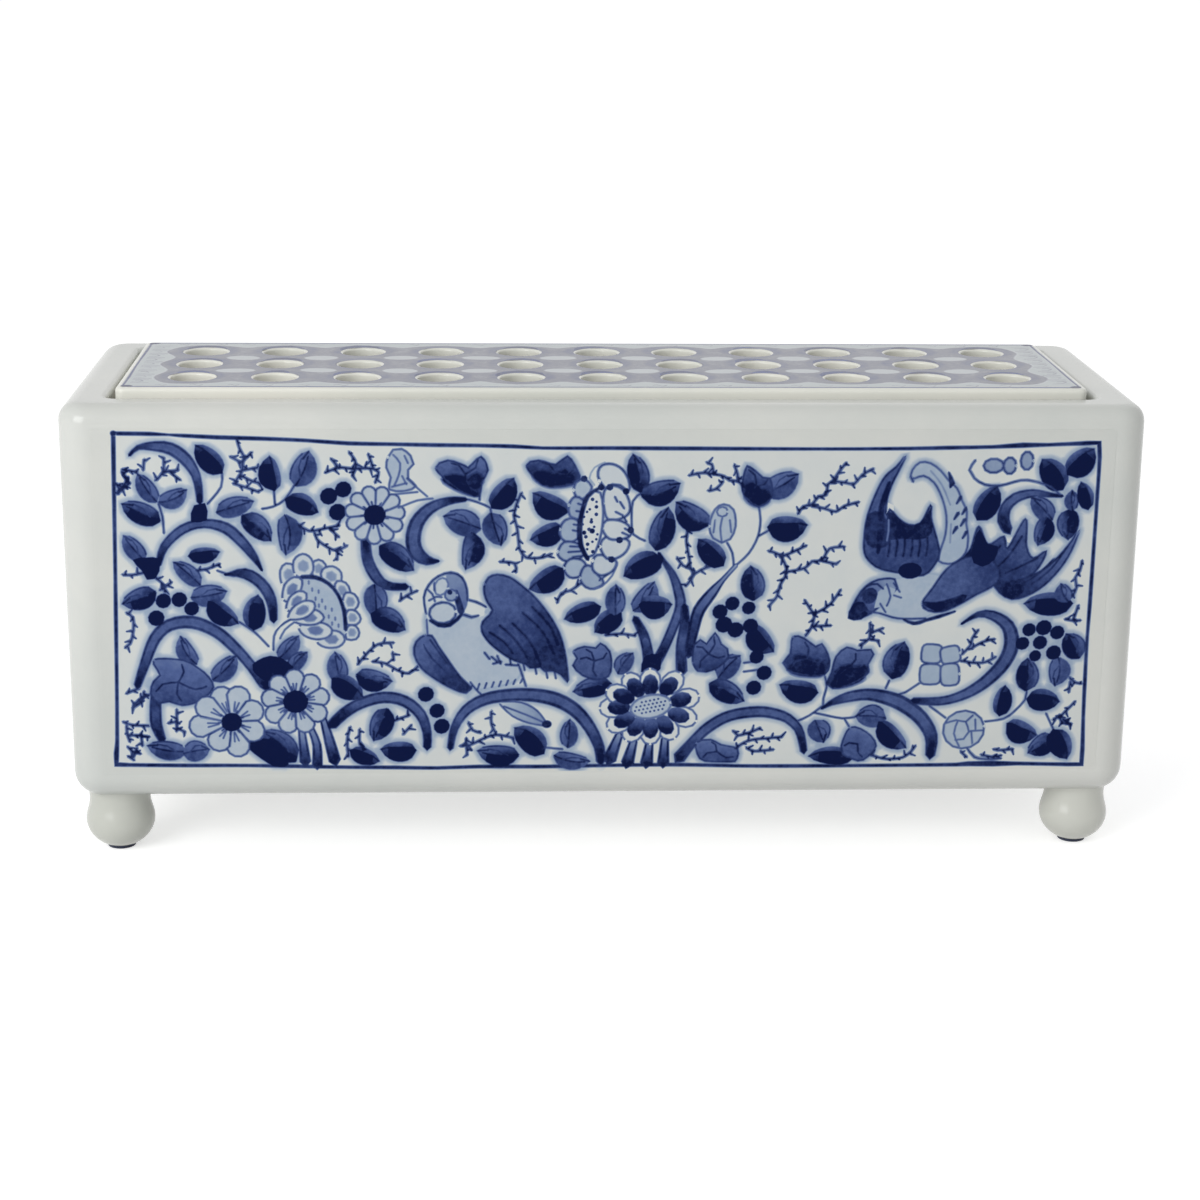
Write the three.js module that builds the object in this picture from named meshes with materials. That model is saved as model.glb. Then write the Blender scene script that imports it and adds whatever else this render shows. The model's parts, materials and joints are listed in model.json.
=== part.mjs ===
// A rectangular flower brick (tulip vase) in glazed porcelain, in millimetres, +Z up.
// A cast trough stands on four luted ball feet with felt pads, and a pierced lid drops into its rim.
// The origin is on the table, under the middle of the trough. -Y is the painted front.
import * as THREE from "three";
import { toCreasedNormals } from "three/addons/utils/BufferGeometryUtils.js";

// The trough, outside
const bodyLength = 254;
const bodyDepth = 86;
const bodyHeight = 96;
const cornerRadius = 7; // of the upright edges
const rimOuterRadius = 4.5;
const rimInnerRadius = 1.5;
const undersideRadius = 6;

// The trough, inside
const wallThickness = 6.5;
const floorThickness = 7;
const rimWidth = 10.5; // the rim is turned in over the wall
const seatDepth = 4.5; // from the rim down to the lid's seat
const seatCornerRadius = 2.5;
const cavityCornerRadius = 5;
const floorFillet = 4;

// The strips luted inside the walls, which carry the lid
const ledgeWidth = 9.5;
const ledgeThickness = 6;
const ledgeChamfer = 3.5; // under the inner edge
const slipGap = 0.3; // the layer of slip between luted pieces

// The lid
const lidThickness = 6.3;
const lidClearance = 1.8; // between the lid and the rim, all round
const lidCornerRadius = 2;
const lidBevel = 0.8; // on the lid's edges and the holes' mouths
const restGap = 0.3; // between the lid and its ledge
const holeDiameter = 10.5;
const holePitchLong = 19.6;
const holePitchDeep = 16.9;
const holeMarginLong = 13; // least, from an end hole's centre to the lid's end
const holeMarginDeep = 12; // least, from a side hole's centre to the lid's side

// The feet and their pads
const footHeight = 14.7;
const footInsetLong = 9.8; // from the trough's ends to a foot's axis
const footInsetDeep = 12; // from the trough's long sides to a foot's axis
const footJointRadius = 7.7; // where the foot spreads into the underside
const footNeckRadius = 7.3;
const footNeckDrop = 2.9; // from the underside to the neck
const footBallRadius = 8.25;
const footBallHeight = 6.5; // from the foot's flat to where it is widest
const footFlatRadius = 3.6;
const padRadius = 3.4;
const padThickness = 0.8;

// How finely round shapes are cut
const cornerSteps = 6;
const edgeSteps = 4;
const holeSides = 16;
const footSides = 24;
const ballSteps = 7;
const swellSteps = 5;
const creaseAngle = THREE.MathUtils.degToRad(40);

const quarterTurn = Math.PI / 2;
const halfTurn = Math.PI;
const fullTurn = 2 * Math.PI;

// Heights that several pieces share
const undersideZ = footHeight + padThickness;
const rimZ = undersideZ + bodyHeight;
const seatZ = rimZ - seatDepth;
const floorZ = undersideZ + floorThickness;

const glaze = { color: 0xd6d8d2, roughness: 0.16, metalness: 0 };
const biscuit = { color: 0xd9d6cb, roughness: 0.55, metalness: 0 };
const felt = { color: 0x2a2f42, roughness: 0.95, metalness: 0 };

// Points of a rectangle with rounded corners, anticlockwise seen from above.
function roundedRectangle(length, depth, radius) {
  const outline = [];
  const corners = [
    [1, 1],
    [-1, 1],
    [-1, -1],
    [1, -1],
  ];
  corners.forEach(([sideX, sideY], corner) => {
    const centreX = sideX * (length / 2 - radius);
    const centreY = sideY * (depth / 2 - radius);
    for (let step = 0; step <= cornerSteps; step++) {
      const angle = quarterTurn * (corner + step / cornerSteps);
      outline.push(
        new THREE.Vector2(
          centreX + radius * Math.cos(angle),
          centreY + radius * Math.sin(angle),
        ),
      );
    }
  });
  return outline;
}

// Points of a quarter round in a section, from one angle to the next quarter.
function quarterRound(centreInset, centreZ, radius, startAngle, turn, steps) {
  return Array.from({ length: steps + 1 }, (_, step) => {
    const angle = startAngle + (turn * quarterTurn * step) / steps;
    return {
      inset: centreInset - radius * Math.cos(angle),
      z: centreZ + radius * Math.sin(angle),
    };
  });
}

// A closed skin through a pile of rings of equal point counts, capped flat at both ends.
function skinThroughRings(rings) {
  const positions = [];
  const put = (...points) =>
    points.forEach((point) => positions.push(point.x, point.y, point.z));
  const capWith = (ring, facesUp) => {
    const middle = new THREE.Vector3(0, 0, ring[0].z);
    ring.forEach((point, index) => {
      const next = ring[(index + 1) % ring.length];
      if (facesUp) put(point, next, middle);
      else put(next, point, middle);
    });
  };
  capWith(rings[0], false);
  for (let level = 1; level < rings.length; level++) {
    const lower = rings[level - 1];
    const upper = rings[level];
    lower.forEach((point, index) => {
      const next = (index + 1) % lower.length;
      put(point, lower[next], upper[next]);
      put(point, upper[next], upper[index]);
    });
  }
  capWith(rings[rings.length - 1], true);
  const skin = new THREE.BufferGeometry();
  skin.setAttribute("position", new THREE.Float32BufferAttribute(positions, 3));
  return skin;
}

// The trough's section, from the underside, over the rim and down to the inner floor.
function troughSection() {
  const outside = (point) => ({ ...point, radius: cornerRadius - point.inset });
  const seat = (point) => ({
    ...point,
    radius: seatCornerRadius + rimWidth - point.inset,
  });
  const cavity = (point) => ({
    ...point,
    radius: cavityCornerRadius + wallThickness - point.inset,
  });
  const underside = quarterRound(
    undersideRadius,
    undersideZ + undersideRadius,
    undersideRadius,
    -quarterTurn,
    1,
    edgeSteps,
  );
  const rimOuter = quarterRound(
    rimOuterRadius,
    rimZ - rimOuterRadius,
    rimOuterRadius,
    0,
    1,
    edgeSteps,
  );
  const rimInner = quarterRound(
    rimWidth - rimInnerRadius,
    rimZ - rimInnerRadius,
    rimInnerRadius,
    quarterTurn,
    1,
    edgeSteps,
  );
  const floorCorner = quarterRound(
    wallThickness + floorFillet,
    floorZ + floorFillet,
    floorFillet,
    0,
    -1,
    edgeSteps,
  );
  return [
    ...[...underside, ...rimOuter].map(outside),
    ...[...rimInner, { inset: rimWidth, z: seatZ }].map(seat),
    ...[{ inset: wallThickness, z: seatZ }, ...floorCorner].map(cavity),
  ];
}

function troughGeometry() {
  const rings = troughSection().map(({ inset, z, radius }) =>
    roundedRectangle(
      bodyLength - 2 * inset,
      bodyDepth - 2 * inset,
      radius,
    ).map((point) => new THREE.Vector3(point.x, point.y, z)),
  );
  return skinThroughRings(rings);
}

// A ledge strip's section runs out from the wall (x) and up (y), and is drawn out along its length.
function ledgeGeometry(length) {
  const top = seatZ - slipGap;
  const bottom = top - ledgeThickness;
  const section = new THREE.Shape();
  section.moveTo(0, bottom);
  section.lineTo(ledgeWidth - ledgeChamfer, bottom);
  section.lineTo(ledgeWidth, bottom + ledgeChamfer);
  section.lineTo(ledgeWidth, top);
  section.lineTo(0, top);
  section.closePath();
  const strip = new THREE.ExtrudeGeometry(section, {
    depth: length,
    bevelEnabled: false,
  });
  strip.translate(0, 0, -length / 2);
  strip.rotateX(quarterTurn);
  return strip;
}

function holeCentres(lidLength, lidDepth) {
  const countAlong = (size, margin, pitch) =>
    Math.floor((size - 2 * margin) / pitch) + 1;
  const columns = countAlong(lidLength, holeMarginLong, holePitchLong);
  const rows = countAlong(lidDepth, holeMarginDeep, holePitchDeep);
  const centres = [];
  for (let row = 0; row < rows; row++) {
    for (let column = 0; column < columns; column++) {
      centres.push(
        new THREE.Vector2(
          (column - (columns - 1) / 2) * holePitchLong,
          (row - (rows - 1) / 2) * holePitchDeep,
        ),
      );
    }
  }
  return centres;
}

function lidGeometry() {
  const lidLength = bodyLength - 2 * (rimWidth + lidClearance);
  const lidDepth = bodyDepth - 2 * (rimWidth + lidClearance);
  const plate = new THREE.Shape(
    roundedRectangle(lidLength, lidDepth, lidCornerRadius),
  );
  holeCentres(lidLength, lidDepth).forEach((centre) => {
    const circle = Array.from({ length: holeSides }, (_, side) => {
      const angle = (-fullTurn * side) / holeSides;
      return new THREE.Vector2(
        centre.x + (holeDiameter / 2) * Math.cos(angle),
        centre.y + (holeDiameter / 2) * Math.sin(angle),
      );
    });
    plate.holes.push(new THREE.Path(circle));
  });
  const lid = new THREE.ExtrudeGeometry(plate, {
    depth: lidThickness - 2 * lidBevel,
    bevelThickness: lidBevel,
    bevelSize: lidBevel,
    bevelOffset: -lidBevel,
    bevelSegments: 1,
  });
  lid.translate(0, 0, lidBevel);
  return lid;
}

// A solid of revolution about Z from [radius, height] pairs, from the bottom up.
function turnedGeometry(profile, sides) {
  const points = profile.map(
    ([radius, height]) => new THREE.Vector2(radius, height),
  );
  const turned = new THREE.LatheGeometry(points, sides);
  turned.rotateX(quarterTurn);
  return turned;
}

// The foot is half a ball cut flat below, drawn in by an easy curve to a wide neck
// and spread into the underside.
function footGeometry() {
  const cutAngle = Math.acos(footFlatRadius / footBallRadius);
  const ballDrop = footBallHeight / Math.sin(cutAngle);
  const neckZ = footHeight - footNeckDrop;
  const profile = [[0, 0]];
  for (let step = 0; step <= ballSteps; step++) {
    const angle = -cutAngle * (1 - step / ballSteps);
    profile.push([
      footBallRadius * Math.cos(angle),
      footBallHeight + ballDrop * Math.sin(angle),
    ]);
  }
  for (let step = 1; step <= swellSteps; step++) {
    const share = step / swellSteps;
    const ease = (1 - Math.cos(halfTurn * share)) / 2;
    profile.push([
      THREE.MathUtils.lerp(footBallRadius, footNeckRadius, ease),
      THREE.MathUtils.lerp(footBallHeight, neckZ, share),
    ]);
  }
  profile.push([footJointRadius, footHeight]);
  profile.push([0, footHeight]);
  return turnedGeometry(profile, footSides);
}

function padGeometry() {
  return turnedGeometry(
    [
      [0, 0],
      [padRadius, 0],
      [padRadius, padThickness],
      [0, padThickness],
    ],
    footSides,
  );
}

const vase = new THREE.Group();

function addPiece(name, geometry, look, place = [0, 0, 0], turn = 0) {
  const piece = new THREE.Mesh(
    toCreasedNormals(geometry, creaseAngle),
    new THREE.MeshStandardMaterial(look),
  );
  piece.name = name;
  piece.position.set(...place);
  piece.rotation.z = turn;
  vase.add(piece);
}

addPiece("vase_body", troughGeometry(), glaze);

const wallInsideX = bodyLength / 2 - wallThickness - slipGap;
const wallInsideY = bodyDepth / 2 - wallThickness - slipGap;
const longLedge = 2 * (bodyLength / 2 - wallThickness - cavityCornerRadius);
const shortLedge = 2 * (wallInsideY - ledgeWidth - slipGap);
addPiece("lid_ledge_front", ledgeGeometry(longLedge), biscuit, [0, -wallInsideY, 0], quarterTurn);
addPiece("lid_ledge_back", ledgeGeometry(longLedge), biscuit, [0, wallInsideY, 0], -quarterTurn);
addPiece("lid_ledge_left", ledgeGeometry(shortLedge), biscuit, [-wallInsideX, 0, 0]);
addPiece("lid_ledge_right", ledgeGeometry(shortLedge), biscuit, [wallInsideX, 0, 0], halfTurn);

addPiece("pierced_lid", lidGeometry(), glaze, [0, 0, seatZ - slipGap + restGap]);

const footX = bodyLength / 2 - footInsetLong;
const footY = bodyDepth / 2 - footInsetDeep;
for (const [deep, sideY] of [["front", -1], ["back", 1]]) {
  for (const [side, sideX] of [["left", -1], ["right", 1]]) {
    const place = (height) => [sideX * footX, sideY * footY, height];
    addPiece(`foot_${deep}_${side}`, footGeometry(), glaze, place(padThickness));
    addPiece(`foot_pad_${deep}_${side}`, padGeometry(), felt, place(0));
  }
}

export default vase;
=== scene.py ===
import bmesh
import bpy
import json
import math
import random
import numpy as np
from mathutils import Matrix, Vector
from mathutils.geometry import delaunay_2d_cdt

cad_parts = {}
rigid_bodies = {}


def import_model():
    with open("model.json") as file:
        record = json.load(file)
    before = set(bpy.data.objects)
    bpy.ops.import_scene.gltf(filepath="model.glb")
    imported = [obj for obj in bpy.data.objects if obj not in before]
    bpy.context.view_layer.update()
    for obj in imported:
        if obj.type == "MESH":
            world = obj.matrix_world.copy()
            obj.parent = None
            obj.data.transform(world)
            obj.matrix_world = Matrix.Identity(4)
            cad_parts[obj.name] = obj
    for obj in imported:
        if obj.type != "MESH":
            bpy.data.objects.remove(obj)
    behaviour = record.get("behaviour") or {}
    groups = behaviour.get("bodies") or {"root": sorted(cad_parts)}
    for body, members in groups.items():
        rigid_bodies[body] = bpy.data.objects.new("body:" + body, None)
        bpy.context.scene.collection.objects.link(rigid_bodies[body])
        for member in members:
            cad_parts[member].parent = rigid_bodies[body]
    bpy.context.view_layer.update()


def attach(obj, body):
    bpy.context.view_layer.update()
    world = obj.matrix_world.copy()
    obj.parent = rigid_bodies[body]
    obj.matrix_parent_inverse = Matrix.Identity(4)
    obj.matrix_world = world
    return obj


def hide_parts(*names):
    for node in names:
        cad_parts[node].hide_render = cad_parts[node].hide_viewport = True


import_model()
mm = 0.001

# Sizes of the trough, in millimetres; heights are above the table
trough = {
    "length": 254,
    "depth": 86,
    "underside": 15.5,
    "top": 111.5,
    "cornerRadius": 7,
    "undersideRadius": 6,
    "rimOuterRadius": 4.5,
    "rimInnerRadius": 1.5,
    "rimWidth": 10.5,
    "seatCornerRadius": 2.5,
    "seat": 107,
    "wall": 6.5,
    "cavityCornerRadius": 5,
    "floor": 22.5,
    "floorFillet": 4,
    "seatFillet": 0.6,
    "mouthFillet": 0.8,  # where the seat turns down into the cavity
    "support": 0.4,  # a ring this far from each edge keeps the flats flat
    "leastRadius": 0.4,
    "faceSink": 0.06,  # the painted faces stand this much proud of the plain glaze
    "rimWaver": 0.22,
    "waverReach": 3,  # how far below the rim's top the waver dies out
}


def roundedRing(length, depth, radius, arcSteps=12, support=0.5):
    # anticlockwise seen from above, with two extra points on each straight side to keep it flat
    ring = []
    for corner, (sideX, sideY) in enumerate([(1, 1), (-1, 1), (-1, -1), (1, -1)]):
        centreX = sideX * (length / 2 - radius)
        centreY = sideY * (depth / 2 - radius)
        start = corner * math.pi / 2
        arc = []
        for step in range(arcSteps + 1):
            angle = start + math.pi / 2 * step / arcSteps
            arc.append((centreX + radius * math.cos(angle), centreY + radius * math.sin(angle)))
        alongX, alongY = math.sin(start), -math.cos(start)
        ring.append((arc[0][0] + support * alongX, arc[0][1] + support * alongY))
        ring += arc
        alongX, alongY = -math.sin(start + math.pi / 2), math.cos(start + math.pi / 2)
        ring.append((arc[-1][0] + support * alongX, arc[-1][1] + support * alongY))
    return ring


def quarterTurn(centreInset, centreZ, radius, startAngle, turn, steps=8):
    section = []
    for step in range(steps + 1):
        angle = math.radians(startAngle + turn * 90 * step / steps)
        section.append((centreInset - radius * math.cos(angle), centreZ + radius * math.sin(angle)))
    return section


def meshFrom(name, points, faces, smooth=True):
    mesh = bpy.data.meshes.new(name)
    mesh.from_pydata([(x * mm, y * mm, z * mm) for x, y, z in points], [], faces)
    mesh.validate()
    mesh.polygons.foreach_set("use_smooth", [smooth] * len(mesh.polygons))
    mesh.update()
    return mesh


def pieceFrom(mesh, material=None):
    piece = bpy.data.objects.new(mesh.name, mesh)
    bpy.context.scene.collection.objects.link(piece)
    if material:
        mesh.materials.clear()
        mesh.materials.append(material)
    return piece


def skinRings(rings, capFirst=True, capLast=True):
    # quads between rings of equal counts; the rings go up the outside, so faces point out
    count = len(rings[0])
    points = [point for ring in rings for point in ring]
    faces = []
    for level in range(len(rings) - 1):
        lower = level * count
        upper = (level + 1) * count
        for index in range(count):
            following = (index + 1) % count
            faces.append((lower + index, lower + following, upper + following, upper + index))
    if capFirst:
        faces.append(tuple(reversed(range(count))))
    if capLast:
        faces.append(tuple(range((len(rings) - 1) * count, len(rings) * count)))
    return points, faces


# Finishes

def nodeAt(tree, kind, **settings):
    node = tree.nodes.new(kind)
    for key, value in settings.items():
        setattr(node, key, value)
    return node


def linear(colour):
    # screen colours from 0 to 255 to scene values
    values = [channel / 255 for channel in colour]
    values = [v / 12.92 if v <= 0.04045 else ((v + 0.055) / 1.055) ** 2.4 for v in values]
    return (*values, 1)


def newFinish(name):
    finish = bpy.data.materials.new(name)
    finish.use_nodes = True
    tree = finish.node_tree
    tree.nodes.clear()
    shader = nodeAt(tree, "ShaderNodeBsdfPrincipled")
    output = nodeAt(tree, "ShaderNodeOutputMaterial")
    tree.links.new(shader.outputs[0], output.inputs["Surface"])
    return finish, tree, shader


def noiseOn(tree, place, scale, detail=3, roughness=0.5, distortion=0.0):
    noise = nodeAt(tree, "ShaderNodeTexNoise")
    noise.inputs["Scale"].default_value = scale
    noise.inputs["Detail"].default_value = detail
    noise.inputs["Roughness"].default_value = roughness
    noise.inputs["Distortion"].default_value = distortion
    tree.links.new(place, noise.inputs["Vector"])
    return noise.outputs["Fac"]


def rampOn(tree, factor, stops):
    ramp = nodeAt(tree, "ShaderNodeValToRGB")
    elements = ramp.color_ramp.elements
    while len(elements) < len(stops):
        elements.new(0.5)
    for element, (position, colour) in zip(elements, stops):
        element.position = position
        element.color = colour
    tree.links.new(factor, ramp.inputs["Fac"])
    return ramp.outputs["Color"]


def feed(tree, *pairs):
    # each socket takes a link or a plain value
    for socket, value in pairs:
        if hasattr(value, "is_linked"):
            tree.links.new(value, socket)
        else:
            socket.default_value = value


def mixOn(tree, factor, first, second):
    mix = nodeAt(tree, "ShaderNodeMix", data_type="RGBA", blend_type="MIX")
    feed(tree, (mix.inputs[0], factor), (mix.inputs[6], first), (mix.inputs[7], second))
    return mix.outputs[2]


def mathOn(tree, operation, first, second=0.5, clamp=False):
    step = nodeAt(tree, "ShaderNodeMath", operation=operation, use_clamp=clamp)
    feed(tree, (step.inputs[0], first), (step.inputs[1], second))
    return step.outputs[0]


glazeLook = {
    "pale": (214, 215, 210),
    "cool": (203, 206, 202),
    "speck": (176, 172, 158),
    "driftScale": 11,
    "cloudScale": 60,
    "cloudShare": 0.3,
    "speckScale": 95,
    "speckSize": 0.028,
    "speckStrength": 0.5,
    "roughness": (0.13, 0.24),
    "roughScale": 45,
    "gloss": 0.4,
    "waver": 0.35,  # millimetres of slow unevenness
    "waverScale": 26,
    "peel": 0.012,
    "peelScale": 420,
}


def glazeColour(tree, place, look):
    # slow drifts from warm to cool, faint clouds and a few pin specks
    drift = noiseOn(tree, place, look["driftScale"], 2, 0.5)
    cloud = noiseOn(tree, place, look["cloudScale"], 4, 0.6)
    driftPart = mathOn(tree, "MULTIPLY", drift, 1 - look["cloudShare"])
    cloudPart = mathOn(tree, "MULTIPLY", cloud, look["cloudShare"])
    both = mathOn(tree, "ADD", driftPart, cloudPart)
    base = rampOn(tree, both, [(0.36, linear(look["cool"])), (0.62, linear(look["pale"]))])
    specks = nodeAt(tree, "ShaderNodeTexVoronoi", feature="F1")
    specks.inputs["Scale"].default_value = look["speckScale"]
    tree.links.new(place, specks.inputs["Vector"])
    small = mathOn(tree, "LESS_THAN", specks.outputs["Distance"], look["speckSize"])
    rare = mathOn(tree, "GREATER_THAN", noiseOn(tree, place, 24, 1), 0.6)
    speck = mathOn(tree, "MULTIPLY", mathOn(tree, "MULTIPLY", small, rare), look["speckStrength"])
    return mixOn(tree, speck, base, linear(look["speck"]))


def glazeSurface(tree, shader, place, look):
    lowest, highest = look["roughness"]
    patchy = noiseOn(tree, place, look["roughScale"], 3)
    spread = mathOn(tree, "MULTIPLY", patchy, highest - lowest)
    tree.links.new(mathOn(tree, "ADD", spread, lowest), shader.inputs["Roughness"])
    shader.inputs["Specular IOR Level"].default_value = look["gloss"]
    slow = nodeAt(tree, "ShaderNodeBump")
    slow.inputs["Distance"].default_value = look["waver"] * mm
    tree.links.new(noiseOn(tree, place, look["waverScale"], 1), slow.inputs["Height"])
    fine = nodeAt(tree, "ShaderNodeBump")
    fine.inputs["Distance"].default_value = look["peel"] * mm
    tree.links.new(noiseOn(tree, place, look["peelScale"], 2), fine.inputs["Height"])
    tree.links.new(slow.outputs[0], fine.inputs["Normal"])
    tree.links.new(fine.outputs[0], shader.inputs["Normal"])


def glazeFinish(name, changes=None):
    look = {**glazeLook, **(changes or {})}
    finish, tree, shader = newFinish(name)
    place = nodeAt(tree, "ShaderNodeTexCoord").outputs["Object"]
    tree.links.new(glazeColour(tree, place, look), shader.inputs["Base Color"])
    glazeSurface(tree, shader, place, look)
    return finish


whiteGlaze = glazeFinish("whiteGlaze")
# the lid's glaze is a lighter copy of the body's: painted light that brightens its shaded hole walls and
# front edge
lidGlazeWithPaintedLight = glazeFinish("lidGlazeWithPaintedLight", {"pale": (236, 235, 226), "cool": (225, 226, 218)})
# the feet's glaze is a darker copy of the body's: painted shade on the feet
footGlazeWithPaintedShade = glazeFinish("footGlazeWithPaintedShade", {"pale": (208, 209, 201), "cool": (196, 198, 190)})

clayLook = {
    "light": (214, 208, 193),
    "dark": (188, 179, 160),
    "grit": (150, 138, 118),
    "gritStrength": 0.6,
    "roughness": 0.72,
    "bumps": 0.08,
}
bareClay, tree, shader = newFinish("bareClay")
place = nodeAt(tree, "ShaderNodeTexCoord").outputs["Object"]
clayStops = [(0.35, linear(clayLook["dark"])), (0.65, linear(clayLook["light"]))]
clayBase = rampOn(tree, noiseOn(tree, place, 90, 5, 0.65), clayStops)
grit = mathOn(tree, "GREATER_THAN", noiseOn(tree, place, 1400, 2), 0.66)
grit = mathOn(tree, "MULTIPLY", grit, clayLook["gritStrength"])
tree.links.new(mixOn(tree, grit, clayBase, linear(clayLook["grit"])), shader.inputs["Base Color"])
shader.inputs["Roughness"].default_value = clayLook["roughness"]
sandy = nodeAt(tree, "ShaderNodeBump")
sandy.inputs["Distance"].default_value = clayLook["bumps"] * mm
tree.links.new(noiseOn(tree, place, 900, 3), sandy.inputs["Height"])
tree.links.new(sandy.outputs[0], shader.inputs["Normal"])

# thin dark discs that sit under the feet, a dark noisy colour with a soft sheen
darkDiscLook = {
    "discPale": (62, 70, 96),
    "shade": (34, 38, 56),
    "discNoiseScale": 2600,
    "roughness": 0.95,
    "sheen": 0.35,
    "bumps": 0.12,
}
darkDiscFinish, tree, shader = newFinish("darkDiscFinish")
place = nodeAt(tree, "ShaderNodeTexCoord").outputs["Object"]
discNoise = noiseOn(tree, place, darkDiscLook["discNoiseScale"], 5, 0.7, 1.5)
darkDiscStops = [(0.35, linear(darkDiscLook["shade"])), (0.68, linear(darkDiscLook["discPale"]))]
tree.links.new(rampOn(tree, discNoise, darkDiscStops), shader.inputs["Base Color"])
shader.inputs["Roughness"].default_value = darkDiscLook["roughness"]
shader.inputs["Sheen Weight"].default_value = darkDiscLook["sheen"]
discBump = nodeAt(tree, "ShaderNodeBump")
discBump.inputs["Distance"].default_value = darkDiscLook["bumps"] * mm
tree.links.new(discNoise, discBump.inputs["Height"])
tree.links.new(discBump.outputs[0], shader.inputs["Normal"])
print("finishes made")


# The trough: one skin, up the outside, over the turned-in rim, under it and down to the inner floor

def troughSection():
    t = trough
    support, sink = t["support"], t["faceSink"]
    seatFillet, mouthFillet = t["seatFillet"], t["mouthFillet"]
    section = []

    def outside(inset, z):
        section.append((inset + sink, z, t["cornerRadius"] - inset))

    def seat(inset, z):
        section.append((inset, z, t["seatCornerRadius"] + t["rimWidth"] - inset))

    def cavity(inset, z):
        section.append((inset, z, t["cavityCornerRadius"] + t["wall"] - inset))

    under = quarterTurn(
        t["undersideRadius"], t["underside"] + t["undersideRadius"], t["undersideRadius"], -90, 1
    )
    outside(under[0][0] + support, under[0][1])
    for inset, z in under:
        outside(inset, z)
    outside(0, under[-1][1] + support)
    shoulder = quarterTurn(t["rimOuterRadius"], t["top"] - t["rimOuterRadius"], t["rimOuterRadius"], 0, 1)
    outside(0, shoulder[0][1] - support)
    for inset, z in shoulder:
        outside(inset, z)
    outside(shoulder[-1][0] + support, t["top"])
    lip = quarterTurn(
        t["rimWidth"] - t["rimInnerRadius"], t["top"] - t["rimInnerRadius"], t["rimInnerRadius"], 90, 1
    )
    seat(lip[0][0] - support, t["top"])
    for inset, z in lip:
        seat(inset, z)
    seat(t["rimWidth"], lip[-1][1] - support)
    for inset, z in quarterTurn(t["rimWidth"] - seatFillet, t["seat"] + seatFillet, seatFillet, 180, 1, 4):
        seat(inset, z)
    seat(t["rimWidth"] - seatFillet - support, t["seat"])
    cavity(t["wall"] + mouthFillet + support, t["seat"])
    for inset, z in quarterTurn(t["wall"] + mouthFillet, t["seat"] - mouthFillet, mouthFillet, 90, -1, 4):
        cavity(inset, z)
    cavity(t["wall"], t["seat"] - mouthFillet - support)
    corner = quarterTurn(t["wall"] + t["floorFillet"], t["floor"] + t["floorFillet"], t["floorFillet"], 0, -1)
    cavity(t["wall"], corner[0][1] + support)
    for inset, z in corner:
        cavity(inset, z)
    cavity(corner[-1][0] + support, t["floor"])
    return section


def rimWaver(x, y, z):
    # the rim was trimmed and wiped by hand, so it dips a little here and there
    reach = trough["waverReach"]
    share = min(max((z - (trough["top"] - reach)) / reach, 0), 1)
    slow = math.sin(x * 0.041 + 1.3) * math.cos(y * 0.06)
    quick = math.sin(x * 0.093 + y * 0.05 + 0.4)
    wave = 0.5 + 0.25 * slow + 0.25 * quick
    return z - trough["rimWaver"] * share * wave


rings = []
for inset, z, radius in troughSection():
    corner = max(radius, trough["leastRadius"])
    outline = roundedRing(trough["length"] - 2 * inset, trough["depth"] - 2 * inset, corner)
    rings.append([(x, y, rimWaver(x, y, z)) for x, y in outline])
points, faces = skinRings(rings)
troughPiece = pieceFrom(meshFrom("glazed_trough", points, faces), whiteGlaze)
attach(troughPiece, "vase")
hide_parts("vase_body")
print("trough made")


# The pierced lid: a flat plate with softened edges and 3 rows of 11 holes

lid = {
    "length": 229.4,
    "depth": 61.4,
    "bottom": 107,
    "top": 113.3,
    "cornerRadius": 2,
    "edgeRadius": 0.9,
    "sideSink": 0.02,
    "faceSink": 0.06,
    "support": 0.3,
    "holeDiameter": 10.5,
    "holeEdge": 0.5,
    "holeSupport": 0.25,
    "holeSides": 40,
    "columns": 11,
    "rows": 3,
    "pitchLong": 19.6,
    "pitchDeep": 16.9,
    "holeUneven": 0.028,
}


def lidHoles():
    chance = random.Random(7)
    holes = []
    for row in range(lid["rows"]):
        for column in range(lid["columns"]):
            x = (column - (lid["columns"] - 1) / 2) * lid["pitchLong"]
            y = (row - (lid["rows"] - 1) / 2) * lid["pitchDeep"]
            holes.append((x, y, chance.uniform(0, 6.3), chance.uniform(0, 6.3)))
    return holes


def holeRing(hole, extra, z=None):
    # cut by hand with a tube, so each is a little out of round
    x, y, firstPhase, secondPhase = hole
    ring = []
    for side in range(lid["holeSides"]):
        angle = 2 * math.pi * side / lid["holeSides"]
        wave = 0.6 * math.sin(2 * angle + firstPhase) + 0.4 * math.sin(3 * angle + secondPhase) - 0.5
        radius = lid["holeDiameter"] / 2 * (1 + lid["holeUneven"] * wave) + extra
        point = (x + radius * math.cos(angle), y + radius * math.sin(angle))
        ring.append(point if z is None else (*point, z))
    return ring


def flatFace(outer, holes, openings, z, facesUp):
    # triangles of a flat plate with its holes left open
    flat = list(outer)
    edges = [(i, (i + 1) % len(outer)) for i in range(len(outer))]
    for ring in holes:
        start = len(flat)
        flat += ring
        edges += [(start + i, start + (i + 1) % len(ring)) for i in range(len(ring))]
    found, _, triangles, _, _, _ = delaunay_2d_cdt([Vector(p) for p in flat], edges, [], 0, 1e-5, False)
    kept = []
    for triangle in triangles:
        middle = sum((found[i] for i in triangle), Vector((0, 0))) / len(triangle)
        if all((middle - Vector((x, y))).length > reach for x, y, reach in openings):
            kept.append(tuple(triangle) if facesUp else tuple(reversed(triangle)))
    return [(p.x, p.y, z) for p in found], kept


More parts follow.
